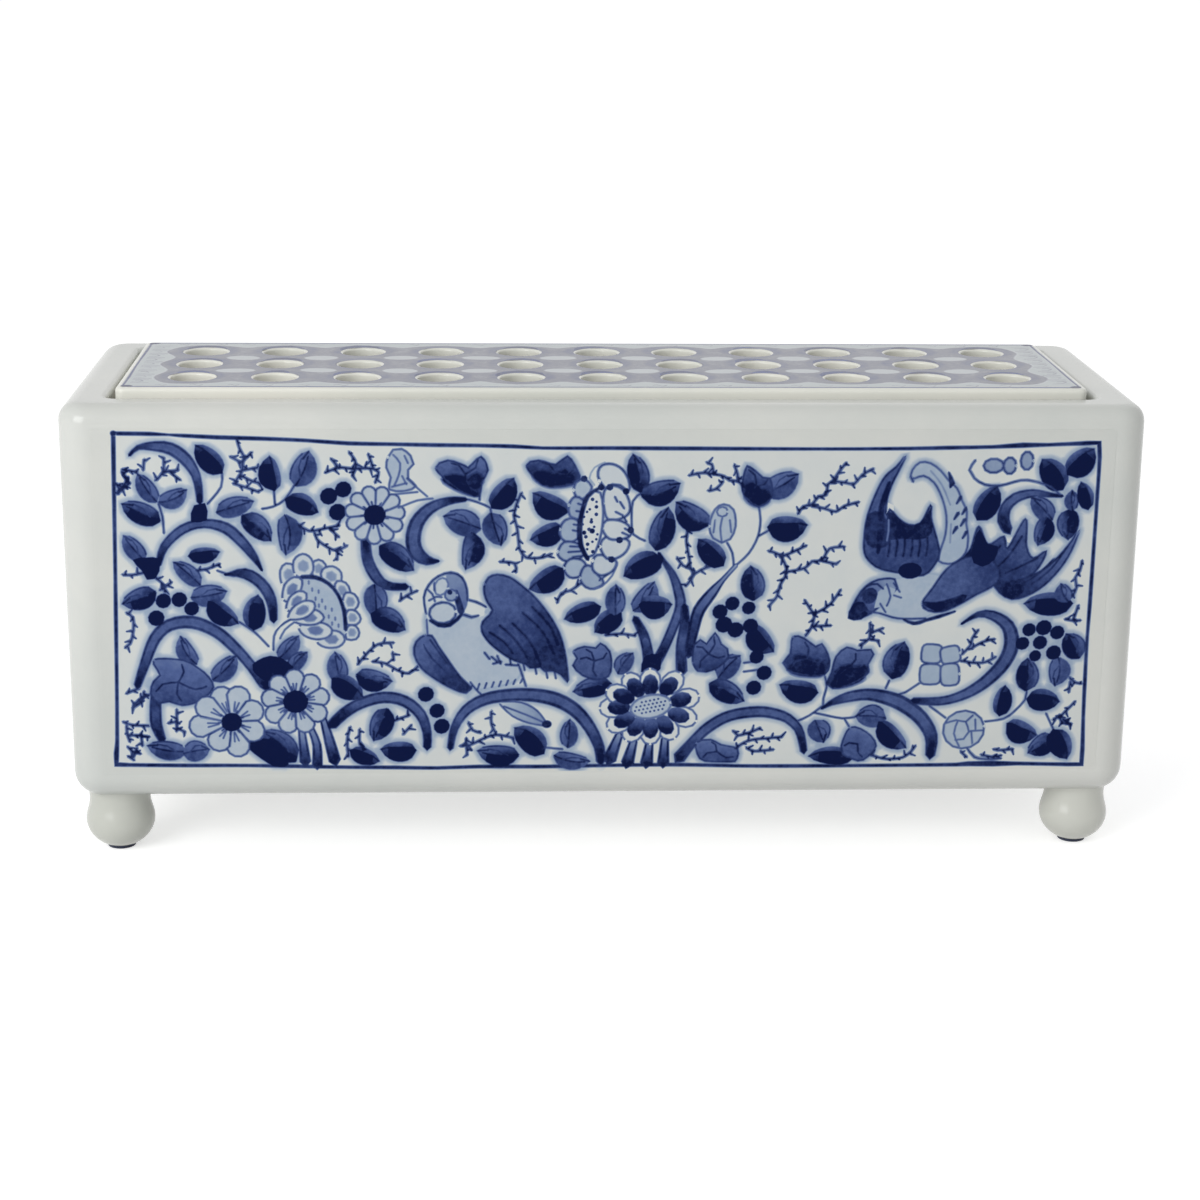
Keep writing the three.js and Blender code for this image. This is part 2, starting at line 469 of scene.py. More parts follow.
def lidMesh():
    t = lid
    top = t["top"] - t["faceSink"]
    holes = lidHoles()
    parts = []
    edge, support = t["edgeRadius"], t["support"]
    sections = [(edge + support, t["bottom"])]
    sections += quarterTurn(edge, t["bottom"] + edge, edge, -90, 1, 5)
    sections += [(0, t["bottom"] + edge + support), (0, top - edge - support)]
    sections += quarterTurn(edge, top - edge, edge, 0, 1, 5)
    sections += [(edge + support, top)]
    outerRings = []
    for inset, z in sections:
        lessened = 2 * (inset + t["sideSink"])
        corner = max(t["cornerRadius"] - inset, 0.5)
        outline = roundedRing(t["length"] - lessened, t["depth"] - lessened, corner, 6, support)
        outerRings.append([(x, y, z) for x, y in outline])
    parts.append(skinRings(outerRings, False, False))
    mouth, support = t["holeEdge"], t["holeSupport"]
    profile = [(mouth + support, t["bottom"])]
    profile += [(mouth - e, t["bottom"] + mouth - h) for e, h in arcOffsets(mouth)]
    profile += [(0, t["bottom"] + mouth + support), (0, top - mouth - support)]
    profile += reversed([(mouth - e, top - mouth + h) for e, h in arcOffsets(mouth)])
    profile += [(mouth + support, top)]
    for hole in holes:
        wall = [list(reversed(holeRing(hole, extra, z))) for extra, z in profile]
        parts.append(skinRings(wall, False, False))
    openings = [(x, y, t["holeDiameter"] / 2 + mouth * 0.8) for x, y, _, _ in holes]
    openRings = [holeRing(hole, mouth + support) for hole in holes]
    first = [(x, y) for x, y, _ in outerRings[0]]
    last = [(x, y) for x, y, _ in outerRings[-1]]
    parts.append(flatFace(first, openRings, openings, t["bottom"], False))
    parts.append(flatFace(last, openRings, openings, top, True))
    points, faces = [], []
    for somePoints, someFaces in parts:
        start = len(points)
        points += somePoints
        faces += [tuple(start + i for i in face) for face in someFaces]
    return welded(meshFrom("lid_plate", points, faces))


def arcOffsets(radius, steps=5):
    # from straight down to sideways, as shares of a quarter round
    angles = [math.pi / 2 * step / steps for step in range(steps + 1)]
    return [(radius * math.sin(angle), radius * math.cos(angle)) for angle in angles]


def welded(mesh):
    # joins the parts where their edges meet
    work = bmesh.new()
    work.from_mesh(mesh)
    bmesh.ops.remove_doubles(work, verts=work.verts, dist=2e-6)
    bmesh.ops.recalc_face_normals(work, faces=work.faces)
    work.to_mesh(mesh)
    work.free()
    return mesh


lidPiece = pieceFrom(lidMesh(), lidGlazeWithPaintedLight)
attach(lidPiece, "lid")
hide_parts("pierced_lid")
print("lid made")


# Feet and a thin dark disc under each: one turned shape each, set out at the four corners

feet = {
    "spanLong": 234.4,
    "spanDeep": 62,
    "sides": 56,
    "top": 17.2,
    "underside": 15.5,
    "jointRadius": 7.7,
    "neckRadius": 7.3,
    "neckHeight": 12.6,
    "ballRadius": 8.25,
    "ballHeight": 7.3,
    "ballDrop": 7.15,
    "flatRadius": 3.6,
    "flatHeight": 0.8,
    "capRadius": 1.2,
    "padRadius": 3.4,
    "padThickness": 0.8,
    "padSides": 36,
    "seed": 3,
}


def turnedMesh(name, profile, sides):
    # the profile runs from the bottom up, at radius and height; both ends close with a small cap
    rings = []
    for radius, z in profile:
        angles = [2 * math.pi * s / sides for s in range(sides)]
        rings.append([(radius * math.cos(angle), radius * math.sin(angle), z) for angle in angles])
    points, faces = skinRings(rings)
    return meshFrom(name, points, faces)


def footProfile():
    f = feet
    flat, cap, neck, joint = f["flatRadius"], f["capRadius"], f["neckRadius"], f["jointRadius"]
    profile = [(cap, f["flatHeight"]), (flat - 0.9, f["flatHeight"]), (flat - 0.25, f["flatHeight"] + 0.02)]
    steps = 12
    for step in range(steps + 1):
        # the lower half is a slightly flattened round
        angle = math.pi / 2 * (0.28 + 0.72 * step / steps)
        profile.append((f["ballRadius"] * math.sin(angle), f["ballHeight"] - f["ballDrop"] * math.cos(angle)))
    for step in range(1, steps + 1):
        # then an easy curve in to the neck
        share = step / steps
        ease = 0.5 - 0.5 * math.cos(math.pi * share)
        z = f["ballHeight"] + (f["neckHeight"] - f["ballHeight"]) * share
        profile.append((f["ballRadius"] + (neck - f["ballRadius"]) * ease, z))
    for step in range(1, 6):
        share = step / 5
        z = f["neckHeight"] + (f["underside"] - f["neckHeight"]) * share
        profile.append((neck + (joint - neck) * share ** 3, z))
    # it runs on up into the trough's rounded edge
    profile += [(joint, f["top"] - 0.4), (joint - 0.4, f["top"]), (cap, f["top"])]
    return profile


def fourCornersTree():
    # sets a shape out on a grid of two by two and turns each copy by chance
    tree = bpy.data.node_groups.new("fourCorners", "GeometryNodeTree")
    tree.interface.new_socket("Geometry", in_out="INPUT", socket_type="NodeSocketGeometry")
    for name in ("Span Long", "Span Deep"):
        tree.interface.new_socket(name, in_out="INPUT", socket_type="NodeSocketFloat")
    tree.interface.new_socket("Seed", in_out="INPUT", socket_type="NodeSocketInt")
    tree.interface.new_socket("Finish", in_out="INPUT", socket_type="NodeSocketMaterial")
    tree.interface.new_socket("Geometry", in_out="OUTPUT", socket_type="NodeSocketGeometry")
    given = nodeAt(tree, "NodeGroupInput")
    result = nodeAt(tree, "NodeGroupOutput")
    grid = nodeAt(tree, "GeometryNodeMeshGrid")
    grid.inputs["Vertices X"].default_value = 2
    grid.inputs["Vertices Y"].default_value = 2
    turn = nodeAt(tree, "FunctionNodeRandomValue", data_type="FLOAT_VECTOR")
    turn.inputs[0].default_value = (0, 0, 0)
    turn.inputs[1].default_value = (0, 0, 2 * math.pi)
    place = nodeAt(tree, "GeometryNodeInstanceOnPoints")
    whole = nodeAt(tree, "GeometryNodeRealizeInstances")
    coat = nodeAt(tree, "GeometryNodeSetMaterial")
    link = tree.links.new
    link(given.outputs["Span Long"], grid.inputs["Size X"])
    link(given.outputs["Span Deep"], grid.inputs["Size Y"])
    link(given.outputs["Seed"], turn.inputs["Seed"])
    link(grid.outputs["Mesh"], place.inputs["Points"])
    link(given.outputs["Geometry"], place.inputs["Instance"])
    link(turn.outputs[0], place.inputs["Rotation"])
    link(place.outputs[0], whole.inputs[0])
    link(whole.outputs[0], coat.inputs["Geometry"])
    link(given.outputs["Finish"], coat.inputs["Material"])
    link(coat.outputs[0], result.inputs[0])
    return tree


def grown(name, startMesh, tree, values):
    # runs a node tree on a mesh and keeps what comes out as a plain mesh
    source = bpy.data.objects.new(name + "_source", startMesh)
    bpy.context.scene.collection.objects.link(source)
    modifier = source.modifiers.new("grow", "NODES")
    modifier.node_group = tree
    for item in tree.interface.items_tree:
        if item.in_out == "INPUT" and item.name in values:
            modifier[item.identifier] = values[item.name]
    ready = source.evaluated_get(bpy.context.evaluated_depsgraph_get())
    mesh = bpy.data.meshes.new_from_object(ready)
    mesh.name = name
    source.modifiers.remove(modifier)
    bpy.data.objects.remove(source)
    return pieceFrom(mesh)


corners = fourCornersTree()
spans = {"Span Long": feet["spanLong"] * mm, "Span Deep": feet["spanDeep"] * mm, "Seed": feet["seed"]}
oneFoot = turnedMesh("oneFoot", footProfile(), feet["sides"])
feetPiece = grown("ball_feet", oneFoot, corners, {**spans, "Finish": footGlazeWithPaintedShade})
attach(feetPiece, "vase")
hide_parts("foot_front_left", "foot_front_right", "foot_back_left", "foot_back_right")

padRadius, padThickness = feet["padRadius"], feet["padThickness"]
discProfile = [(0.6, 0), (3.1, 0), (3.32, 0.08), (padRadius, 0.25)]  # softly cut edges
discProfile += [(padRadius, 0.55), (3.3, 0.74), (3.1, padThickness), (0.6, padThickness)]
oneDisc = turnedMesh("oneDisc", discProfile, feet["padSides"])
discs = grown("dark_foot_discs", oneDisc, corners, {**spans, "Finish": darkDiscFinish})
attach(discs, "vase")
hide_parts("foot_pad_front_left", "foot_pad_front_right", "foot_pad_back_left", "foot_pad_back_right")
print("feet made")

for side in ("front", "back", "left", "right"):
    strip = bpy.data.objects["lid_ledge_" + side]
    for place in strip.material_slots:
        place.material = bareClay


# Painting: soft-edged brush marks laid over each other on a thin skin over each face.
# A mark has a core of full strength and an edge where it fades; places are in millimetres,
# across and above the trough's underside.

brush = {
    "fade": 0.4,
    "stepLong": 1.6,
    "bleed": 1.8,
    "bleedTone": 0.27,
    "spurEvery": 1.5,
    "spurLength": (0.8, 1.7),
    "spurAngle": (42, 78),
    "spurReach": (113.2, 9.8, 85.2),  # no spur passes these, across, below and above
    "skinDepth": 0.35,
    "seed": 11,
}
wholeStep = 99  # keeps a line's own points, with none between them


def flowing(points, step=brush["stepLong"], closed=False):
    # a smooth line through given points, whose widths flow along with it
    line = np.array(points, float)
    count = len(line)
    made = []
    for i in range(count if closed else count - 1):
        if closed:
            before, a, b, after = line[i - 1], line[i], line[(i + 1) % count], line[(i + 2) % count]
        else:
            before, a, b, after = line[max(i - 1, 0)], line[i], line[i + 1], line[min(i + 2, count - 1)]
        parts = max(1, int(round(math.hypot(*(b - a)[:2]) / step)))
        for k in range(parts):
            t = k / parts
            curve = 2 * a + (b - before) * t + (2 * before - 5 * a + 4 * b - after) * t ** 2
            made.append(0.5 * (curve + (3 * a - before - 3 * b + after) * t ** 3))
    if not closed:
        made.append(line[-1])
    return np.array(made)


def bandEdge(path, half):
    # the outline of a brush line of the given half widths, with blunt ends
    along = np.gradient(path, axis=0)
    along /= np.maximum(np.linalg.norm(along, axis=1, keepdims=True), 1e-6)
    side = np.stack([-along[:, 1], along[:, 0]], 1)
    half = np.broadcast_to(np.asarray(half, float).reshape(-1, 1), (len(path), 1))
    start = path[0] - along[0] * half[0]
    end = path[-1] + along[-1] * half[-1]
    return np.vstack([path + side * half, end, (path - side * half)[::-1], start])


def anticlockwise(loop):
    following = np.roll(loop, -1, 0)
    area = np.sum(loop[:, 0] * following[:, 1] - following[:, 0] * loop[:, 1])
    return loop if area > 0 else loop[::-1]


def grownEdge(loop, reach):
    along = np.roll(loop, -1, 0) - np.roll(loop, 1, 0)
    along /= np.maximum(np.linalg.norm(along, axis=1, keepdims=True), 1e-6)
    return loop + np.stack([along[:, 1], -along[:, 0]], 1) * reach


motif = {"count": 0}


def begin():
    motif["count"] += 1  # the marks that follow belong to a new motif


def lay(marks, core, outer, fade, tone, closed, under=False):
    marks.append(
        {
            "core": core, "outer": outer, "fade": fade, "tone": tone, "closed": closed, "under": under,
            "motif": motif["count"]
        }
    )


def brushLine(marks, points, tone, width=None, step=brush["stepLong"]):
    rows = [(p[0], p[1], width or p[2]) for p in points]
    line = flowing(rows, step)
    path, half = line[:, :2], np.maximum(line[:, 2], 0.25) / 2
    if line[:, 2].max() < 0.95:
        lay(marks, path, bandEdge(path, half + 0.2), half + 0.2, tone, False)
    else:
        inner = np.maximum(half - 0.2, 0.04)
        lay(marks, bandEdge(path, inner), bandEdge(path, inner + brush["fade"]), brush["fade"], tone, True)


def patch(marks, points, tone, step=brush["stepLong"], fade=0.34, bleeds=False):
    loop = anticlockwise(flowing(points, step, True))
    if bleeds:
        wide = brush["bleed"]
        lay(marks, loop, grownEdge(loop, wide), wide, brush["bleedTone"], True, True)
    lay(marks, loop, grownEdge(loop, fade), fade, tone, True)
    return loop


def ringLine(marks, points, tone, width, step=brush["stepLong"]):
    loop = flowing(points, step, True)
    brushLine(marks, np.vstack([loop, loop[:1]]), tone, width, wholeStep)


def brushLines(marks, lines, tone, width):
    for line in lines:
        brushLine(marks, line, tone, width)


def outlined(marks, points, tone, line, width, step=brush["stepLong"], bleeds=False):
    patch(marks, points, tone, step, bleeds=bleeds)
    ringLine(marks, points, line, width, step)


def ellipse(x, z, across, up, turn=0, sides=14):
    spin = math.radians(turn)
    made = []
    for side in range(sides):
        a, b = across * math.cos(2 * math.pi * side / sides), up * math.sin(2 * math.pi * side / sides)
        made.append(
            (x + a * math.cos(spin) - b * math.sin(spin), z + a * math.sin(spin) + b * math.cos(spin))
        )
    return made


def dot(marks, x, z, radius, tone, sides=7, fade=0.25):
    loop = np.array(ellipse(x, z, radius, radius, 20, sides))
    lay(marks, loop, grownEdge(loop, fade), fade, tone, True)


# A leaf's upper half, lower half and vein, from the darkest kind to the palest
leafTones = {"D": (0.7, 1.12, 0.97), "d": (0.62, 1.06, 1.0), "m": (0.6, 0.8, 0.97)}


def leaf(marks, chance, tipX, tipZ, baseX, baseZ, width, kind):
    begin()
    base, tip = np.array([baseX, baseZ]), np.array([tipX, tipZ])
    span = tip - base
    side = np.array([-span[1], span[0]]) / np.linalg.norm(span)
    if side[1] > 0:
        side = -side  # the lower half is the shaded one
    share = np.linspace(0, 1, 9)[:, None]
    bend = chance.uniform(-0.06, 0.12) * np.linalg.norm(span)
    spine = base + share * span + side * bend * 4 * share * (1 - share)
    half = width / 2 * np.sin(np.pi * share ** 0.84) ** 0.58
    upper, lower = spine - side * half, spine + side * half
    light, dark, spineTone = leafTones[kind]
    loop = anticlockwise(np.vstack([upper, lower[-2:0:-1]]))
    lay(marks, loop, grownEdge(loop, brush["bleed"]), brush["bleed"], brush["bleedTone"], True, True)
    shadedEnd = lower[3] * 0.6 + spine[3] * 0.4
    lay(marks, loop, grownEdge(loop, 0.3), 0.3, (light, dark, upper[4], shadedEnd), True)
    rise = half[:-2] * 0.42 if kind == "D" else -0.3
    shade = anticlockwise(np.vstack([spine[:-2] - side * rise, lower[-3:0:-1]]))
    lay(marks, shade, grownEdge(shade, 0.4), 0.4, dark, True)
    if kind != "D":
        brushLine(marks, spine[:-1], spineTone, 0.36, wholeStep)
        brushLine(marks, upper[1:-1], 0.86, 0.36, wholeStep)
        vein = [spine[2], spine[4] * 0.5 + upper[4] * 0.5, spine[6] * 0.35 + upper[6] * 0.65]
        brushLine(marks, vein, 0.84, 0.28, wholeStep)
    brushLine(marks, [spine[-3] * 0.5 + upper[-3] * 0.5, tip], 0.97, 0.5, wholeStep)


def lobedLeaf(marks, points, light, dark):
    begin()
    top, foot = max(p[1] for p in points), min(p[1] for p in points)
    loop = patch(marks, points, (light, dark, (0, top), (0, foot)), 1.4, 0.3, True)
    middle = loop.mean(0)
    if dark > 0.93:
        # the brush was fullest below
        shade = middle + (loop - middle) * [0.74, 0.5] - [0, 0.22 * np.ptp(loop[:, 1])]
        lay(marks, shade, grownEdge(shade, 0.9), 0.9, 1.04, True)
    for x, z in points[1::3]:
        away = np.array([x, z])
        bend = (away - middle)[::-1] * [0.14, -0.14]
        brushLine(marks, [middle, (middle + away) / 2 + bend, middle * 0.2 + away * 0.8], 0.95, 0.4)
    ringLine(marks, points, 0.9, 0.42)


def archRibbon(marks, points):
    # dark edges, a paler core that the brush left, and ends where the colour pooled
    begin()
    line = flowing(points)
    loop = bandEdge(line[:, :2], line[:, 2] / 2)
    lay(marks, loop, bandEdge(line[:, :2], line[:, 2] / 2 + brush["bleed"]), brush["bleed"], 0.2, True, True)
    brushLine(marks, line, 0.9, None, wholeStep)
    inner = line[1:-1].copy()
    inner[:, 2] = inner[:, 2] * 0.56
    wide = inner[inner[:, 2] > 0.6]
    if len(wide) > 2:
        brushLine(marks, wide, 0.7, None, wholeStep)
    reach = min(5, len(line) // 2)
    for dab in (line[:reach + 1].copy(), line[:-reach - 2:-1].copy()):
        dab[:, 2] = np.maximum(dab[:, 2] * 0.6, 0.3)
        brushLine(marks, dab, (1.1, 0.7, dab[0, :2], dab[-1, :2]), None, wholeStep)


def thornyTwig(marks, chance, points):
    begin()
    line = flowing([(x, z) for x, z in points], 1.2)
    brushLine(marks, line, 0.95, 0.78, wholeStep)
    steps = np.linalg.norm(np.diff(line, axis=0), axis=1)
    along = np.concatenate([[0], np.cumsum(steps)])
    turn, place = 1, 0.5
    widest, lowest, highest = brush["spurReach"]
    while place < along[-1] + 0.1:
        at, near = (
            np.array([np.interp(spot, along, line[:, 0]), np.interp(spot, along, line[:, 1])])
            for spot in (place, place - 0.4)
        )
        ahead = at - near if np.linalg.norm(at - near) > 0.05 else line[1] - line[0]
        angle = math.atan2(ahead[1], ahead[0]) + turn * math.radians(chance.uniform(*brush["spurAngle"]))
        long = chance.uniform(*brush["spurLength"])
        tip = at + long * np.array([math.cos(angle), math.sin(angle)])
        if abs(tip[0]) > widest or not lowest < tip[1] < highest:
            tip = at + 0.6 * np.array([math.cos(angle), math.sin(angle)])
        brushLine(marks, [(*at, 0.94), (*(at * 0.5 + tip * 0.5), 0.6), (*tip, 0.3)], 0.97)
        turn, place = -turn, place + brush["spurEvery"] * chance.uniform(0.7, 1.2)


def berry(marks, x, z, radius):
    begin()
    patch(marks, ellipse(x, z, radius, radius * 0.93, 40, 11), 1.14, bleeds=True)


def roundPetal(marks, x, z, tipX, tipZ, width, strokes):
    # a paddle with a round tip, its outline and a few fine strokes from the heart
    base, tip = np.array([x, z]), np.array([tipX, tipZ])
    span = tip - base
    long = np.linalg.norm(span)
    ahead = span / long
    side = np.array([-ahead[1], ahead[0]])
    centre = tip - ahead * width / 2
    start = base + span * 0.14
    loop = [start - side * width * 0.12]
    for k in range(7):
        angle = -math.pi / 2 + math.pi * k / 6
        loop.append(centre + (side * math.sin(angle) + ahead * math.cos(angle)) * width / 2)
    loop.append(start + side * width * 0.12)
    loop = anticlockwise(np.array(loop))
    lay(marks, loop, grownEdge(loop, 0.3), 0.3, 0.14, True)
    brushLine(marks, np.vstack([loop, loop[:1]]), 0.8, 0.48, wholeStep)
    for k in range(strokes):
        lean = (k - (strokes - 1) / 2) * 0.45
        first = base + 0.3 * span + side * lean * 0.5
        last = base + 0.56 * span + side * lean * width * 0.4
        brushLine(marks, [first, last], 0.72, 0.34, wholeStep)


def daisy(marks, x, z, heart, tips, width):
    begin()
    for tipX, tipZ in tips:
        roundPetal(marks, x, z, tipX, tipZ, width, strokes=2 if width > 4 else 0)
    patch(marks, ellipse(x, z, heart, heart * 0.94, 15, 13), 1.14)
    for k in range(9):
        angle = 0.4 + 2 * math.pi * k / 9
        near, far = heart, heart * 1.35
        first = (x + near * math.cos(angle), z + near * math.sin(angle))
        last = (x + far * math.cos(angle), z + far * math.sin(angle))
        brushLine(marks, [first, last], 0.85, 0.4, wholeStep)


def petal(marks, points, fill=0.1, core=0.42, line=0.76, width=0.46):
    points = np.array(points, float)
    middle = points.mean(0)
    patch(marks, points, fill, 0.9)
    if core:
        patch(marks, middle + (points - middle) * 0.4, core, 0.9, 0.55)
    ringLine(marks, points, line, width, 0.9)


def squarish(x, z, across, up, turn=0):
    spin = math.radians(turn)
    points = []
    steps = 16
    for k in range(steps):
        angle = 2 * math.pi * k / steps
        a = across * math.copysign(abs(math.cos(angle)) ** 0.55, math.cos(angle))
        b = up * math.copysign(abs(math.sin(angle)) ** 0.55, math.sin(angle))
        points.append(
            (x + a * math.cos(spin) - b * math.sin(spin), z + a * math.sin(spin) + b * math.cos(spin))
        )
    return points


def evenTips(x, z, reach, count, start):
    angles = [start + 2 * math.pi * k / count for k in range(count)]
    return [(x + reach * math.cos(angle), z + reach * math.sin(angle)) for angle in angles]


def dottedOval(marks, x, z, across, up, turn, pitch, edge, fill):
    outlined(marks, ellipse(x, z, across, up, turn, 18), fill, edge, 0.55)
    spin = math.radians(turn)
    row = 0
    b = -up + pitch * 0.8
    while b < up - pitch * 0.4:
        a = -across + (pitch / 2 if row % 2 else 0)
        while a < across:
            if (a / (across - 0.7)) ** 2 + (b / (up - 0.7)) ** 2 < 0.9:
                dotX = x + a * math.cos(spin) - b * math.sin(spin)
                dotZ = z + a * math.sin(spin) + b * math.cos(spin)
                dot(marks, dotX, dotZ, 0.2, 0.72, 5, 0.2)
            a += pitch
        b += pitch * 0.9
        row += 1


# How the marks become a skin

def insideLoop(places, loop):
    # even-odd test of many places against one closed line
    following = np.roll(loop, -1, 0)
    x, z = places[:, 0][:, None], places[:, 1][:, None]
    x1, z1, x2, z2 = loop[:, 0], loop[:, 1], following[:, 0], following[:, 1]
    spans = (z1 > z) != (z2 > z)
    rise = np.where(z2 == z1, 1e-12, z2 - z1)
    crossing = (x2 - x1) * (z - z1) / rise + x1
    return (spans & (x < crossing)).sum(1) % 2 == 1


def fadeAt(places, mark):
    # 1 on the core, falling to 0 at the outer edge
    core = mark["core"]
    a = core
    b = np.roll(core, -1, 0)
    if not mark["closed"]:
        a, b = core[:-1], core[1:]
    step = b - a
    size = np.maximum((step ** 2).sum(1), 1e-12)
    share = np.clip(((places[:, None] - a) * step).sum(2) / size, 0, 1)
    gap = np.linalg.norm(places[:, None] - (a + share[..., None] * step), axis=2)
    nearest = gap.argmin(1)
    rows = np.arange(len(places))
    fade = mark["fade"]
    if np.ndim(fade):
        t = share[rows, nearest]
        fade = fade[:-1][nearest] * (1 - t) + fade[1:][nearest] * t
    return np.clip(1 - gap[rows, nearest] / fade, 0, 1)


def toneAt(places, tone):
    if not isinstance(tone, tuple):
        return np.full(len(places), float(tone))
    first, last, start, end = tone
    start, step = np.asarray(start, float), np.asarray(end, float) - np.asarray(start, float)
    share = np.clip(((places - start) @ step) / max(step @ step, 1e-9), 0, 1)
    return first + (last - first) * share


def cornerLayer(mesh, name, values):
    # a value at each corner of the painted side, and 0 elsewhere
    every = np.zeros(len(mesh.loops))
    every[: values.size] = values.reshape(-1)
    mesh.attributes.new(name, "FLOAT", "CORNER").data.foreach_set("value", every)


# Shares of the skin's picture map: the painted side fills most of it, then the rim and the back
skinMap = {
    "faceLeft": 0.002,
    "faceWide": 0.996,
    "faceLow": 0.004,
    "faceHigh": 0.93,
    "rimLow": 0.945,
    "rimHigh": 0.955,
    "backLow": 0.965,
    "backHigh": 0.03,
}


def spreadMap(mesh, places, outline, painted, rimCount):
    # painted is how many corners the painted side has; the rim's quads follow, then the back
    m = skinMap
    low, high = outline.min(0), outline.max(0)
    indices = np.zeros(len(mesh.loops), int)
    mesh.loops.foreach_get("vertex_index", indices)
    spots = (places[indices] - low) / (high - low)
    spots[:painted, 1] = m["faceLow"] + spots[:painted, 1] * m["faceHigh"]
    spots[:painted, 0] = m["faceLeft"] + spots[:painted, 0] * m["faceWide"]
    wallEnd = painted + 4 * rimCount
    across = np.repeat(np.arange(rimCount), 4) / rimCount
    nudge = np.tile([1, 0, 0, 1], rimCount) / rimCount
    spots[painted:wallEnd, 0] = across + nudge
    spots[painted:wallEnd, 1] = np.tile([m["rimLow"], m["rimLow"], m["rimHigh"], m["rimHigh"]], rimCount)
    spots[wallEnd:, 1] = m["backLow"] + spots[wallEnd:, 1] * m["backHigh"]
    mesh.uv_layers.new(name="OFBake").uv.foreach_set("vector", spots.reshape(-1))


def paintedSkin(name, outline, marks, border, place, finish, holes=()):
    # every mark's lines cut the face into triangles, and each corner gets its tone
    points, edges = [], []

    def addLine(line, closed):
        start = len(points)
        points.extend(Vector((float(x), float(z))) for x, z in line)
        count = len(line)
        edges.extend((start + i, start + (i + 1) % count) for i in range(count if closed else count - 1))

    outline = np.array(outline, float)
    holes = [np.array(hole, float) for hole in holes]
    addLine(outline, True)
    for hole in holes:
        addLine(hole, True)
    for mark in marks:
        addLine(mark["outer"], True)
        addLine(mark["core"], mark["closed"])
    found, _, triangles, _, _, _ = delaunay_2d_cdt(points, edges, [], 0, 1e-4, False)
    flat = np.array([(p.x, p.y) for p in found])
    triangles = np.array([t for t in triangles if len(t) == 3])
    middle = flat[triangles].mean(1)
    keep = insideLoop(middle, outline)
    for hole in holes:
        near = np.linalg.norm(middle - hole.mean(0), axis=1) < 12  # well past a hole's edge
        keep[near] &= ~insideLoop(middle[near], hole)
    triangles, middle = triangles[keep], middle[keep]
    corners = flat[triangles]
    tone = np.zeros(corners.shape[:2])
    for mark in sorted(marks, key=lambda m: not m["under"]):
        low, high = mark["outer"].min(0), mark["outer"].max(0)
        near = np.flatnonzero(((middle > low) & (middle < high)).all(1))
        near = near[insideLoop(middle[near], mark["outer"])]
        if not len(near):
            continue
        places = corners[near].reshape(-1, 2)
        strength = fadeAt(places, mark)
        if mark["closed"]:
            strength[np.repeat(insideLoop(middle[near], mark["core"]), 3)] = 1
        new = toneAt(places, mark["tone"])
        old = tone[near].reshape(-1)
        mixed = np.maximum(old, new * strength) if mark["under"] else old + (new - old) * strength
        tone[near] = mixed.reshape(-1, 3)
    within = insideLoop(middle, np.array(border, float)).astype(float)

    # the skin is closed: the rim's edges go back into the wall and a plain back joins them
    directed = np.concatenate([triangles[:, [0, 1]], triangles[:, [1, 2]], triangles[:, [2, 0]]])
    _, which, counts = np.unique(np.sort(directed, axis=1), axis=0, return_index=True, return_counts=True)
    rim = directed[which[counts == 1]]
    used, where = np.unique(rim, return_inverse=True)
    rimBack = where.reshape(-1, 2)
    backFlat = [Vector(flat[i]) for i in used]
    backEdges = [tuple(map(int, e)) for e in rimBack]
    backPoints, _, backFaces, _, _, _ = delaunay_2d_cdt(backFlat, backEdges, [], 0, 1e-6, False)
    backPlaces = np.array([(p.x, p.y) for p in backPoints])
    backMiddle = np.array([(backPlaces[a] + backPlaces[b] + backPlaces[c]) / 3 for a, b, c in backFaces])
    fits = insideLoop(backMiddle, outline)
    for hole in holes:
        fits &= ~insideLoop(backMiddle, hole)
    size = len(flat)
    vertices = [place(x, z, 0) for x, z in flat]
    vertices += [place(x, z, brush["skinDepth"]) for x, z in backPlaces]
    faces = [tuple(map(int, t)) for t in triangles]
    faces += [(int(b), int(a), size + int(c), size + int(d)) for (a, b), (c, d) in zip(rim, rimBack)]
    faces += [tuple(size + i for i in reversed(face)) for face, fit in zip(backFaces, fits) if fit]
    mesh = bpy.data.meshes.new(name)
    mesh.from_pydata([(x * mm, y * mm, z * mm) for x, y, z in vertices], [], faces)
    cornerLayer(mesh, "tone", tone)
    cornerLayer(mesh, "panel", np.repeat(within, 3))
    spreadMap(mesh, np.vstack([flat, backPlaces]), outline, tone.size, len(rim))
    mesh.update()
    skin = pieceFrom(mesh, finish)
    print(name, len(mesh.polygons), "faces,", len(marks), "marks")
    return skin


paintLook = {
    "gloss": 0.05,
    "streaks": 0.34,
    "streakScale": 900,
    "pools": 0.4,
    "poolScale": 200,
    "ground": (212, 214, 210),
    "haze": (199, 205, 206),
    "tones": [
        (0.05, (200, 206, 209)), (0.18, (156, 172, 191)), (0.4, (113, 131, 167)), (0.62, (79, 97, 147)),
        (0.82, (44, 60, 109)), (1.0, (3, 17, 61))
    ],
}


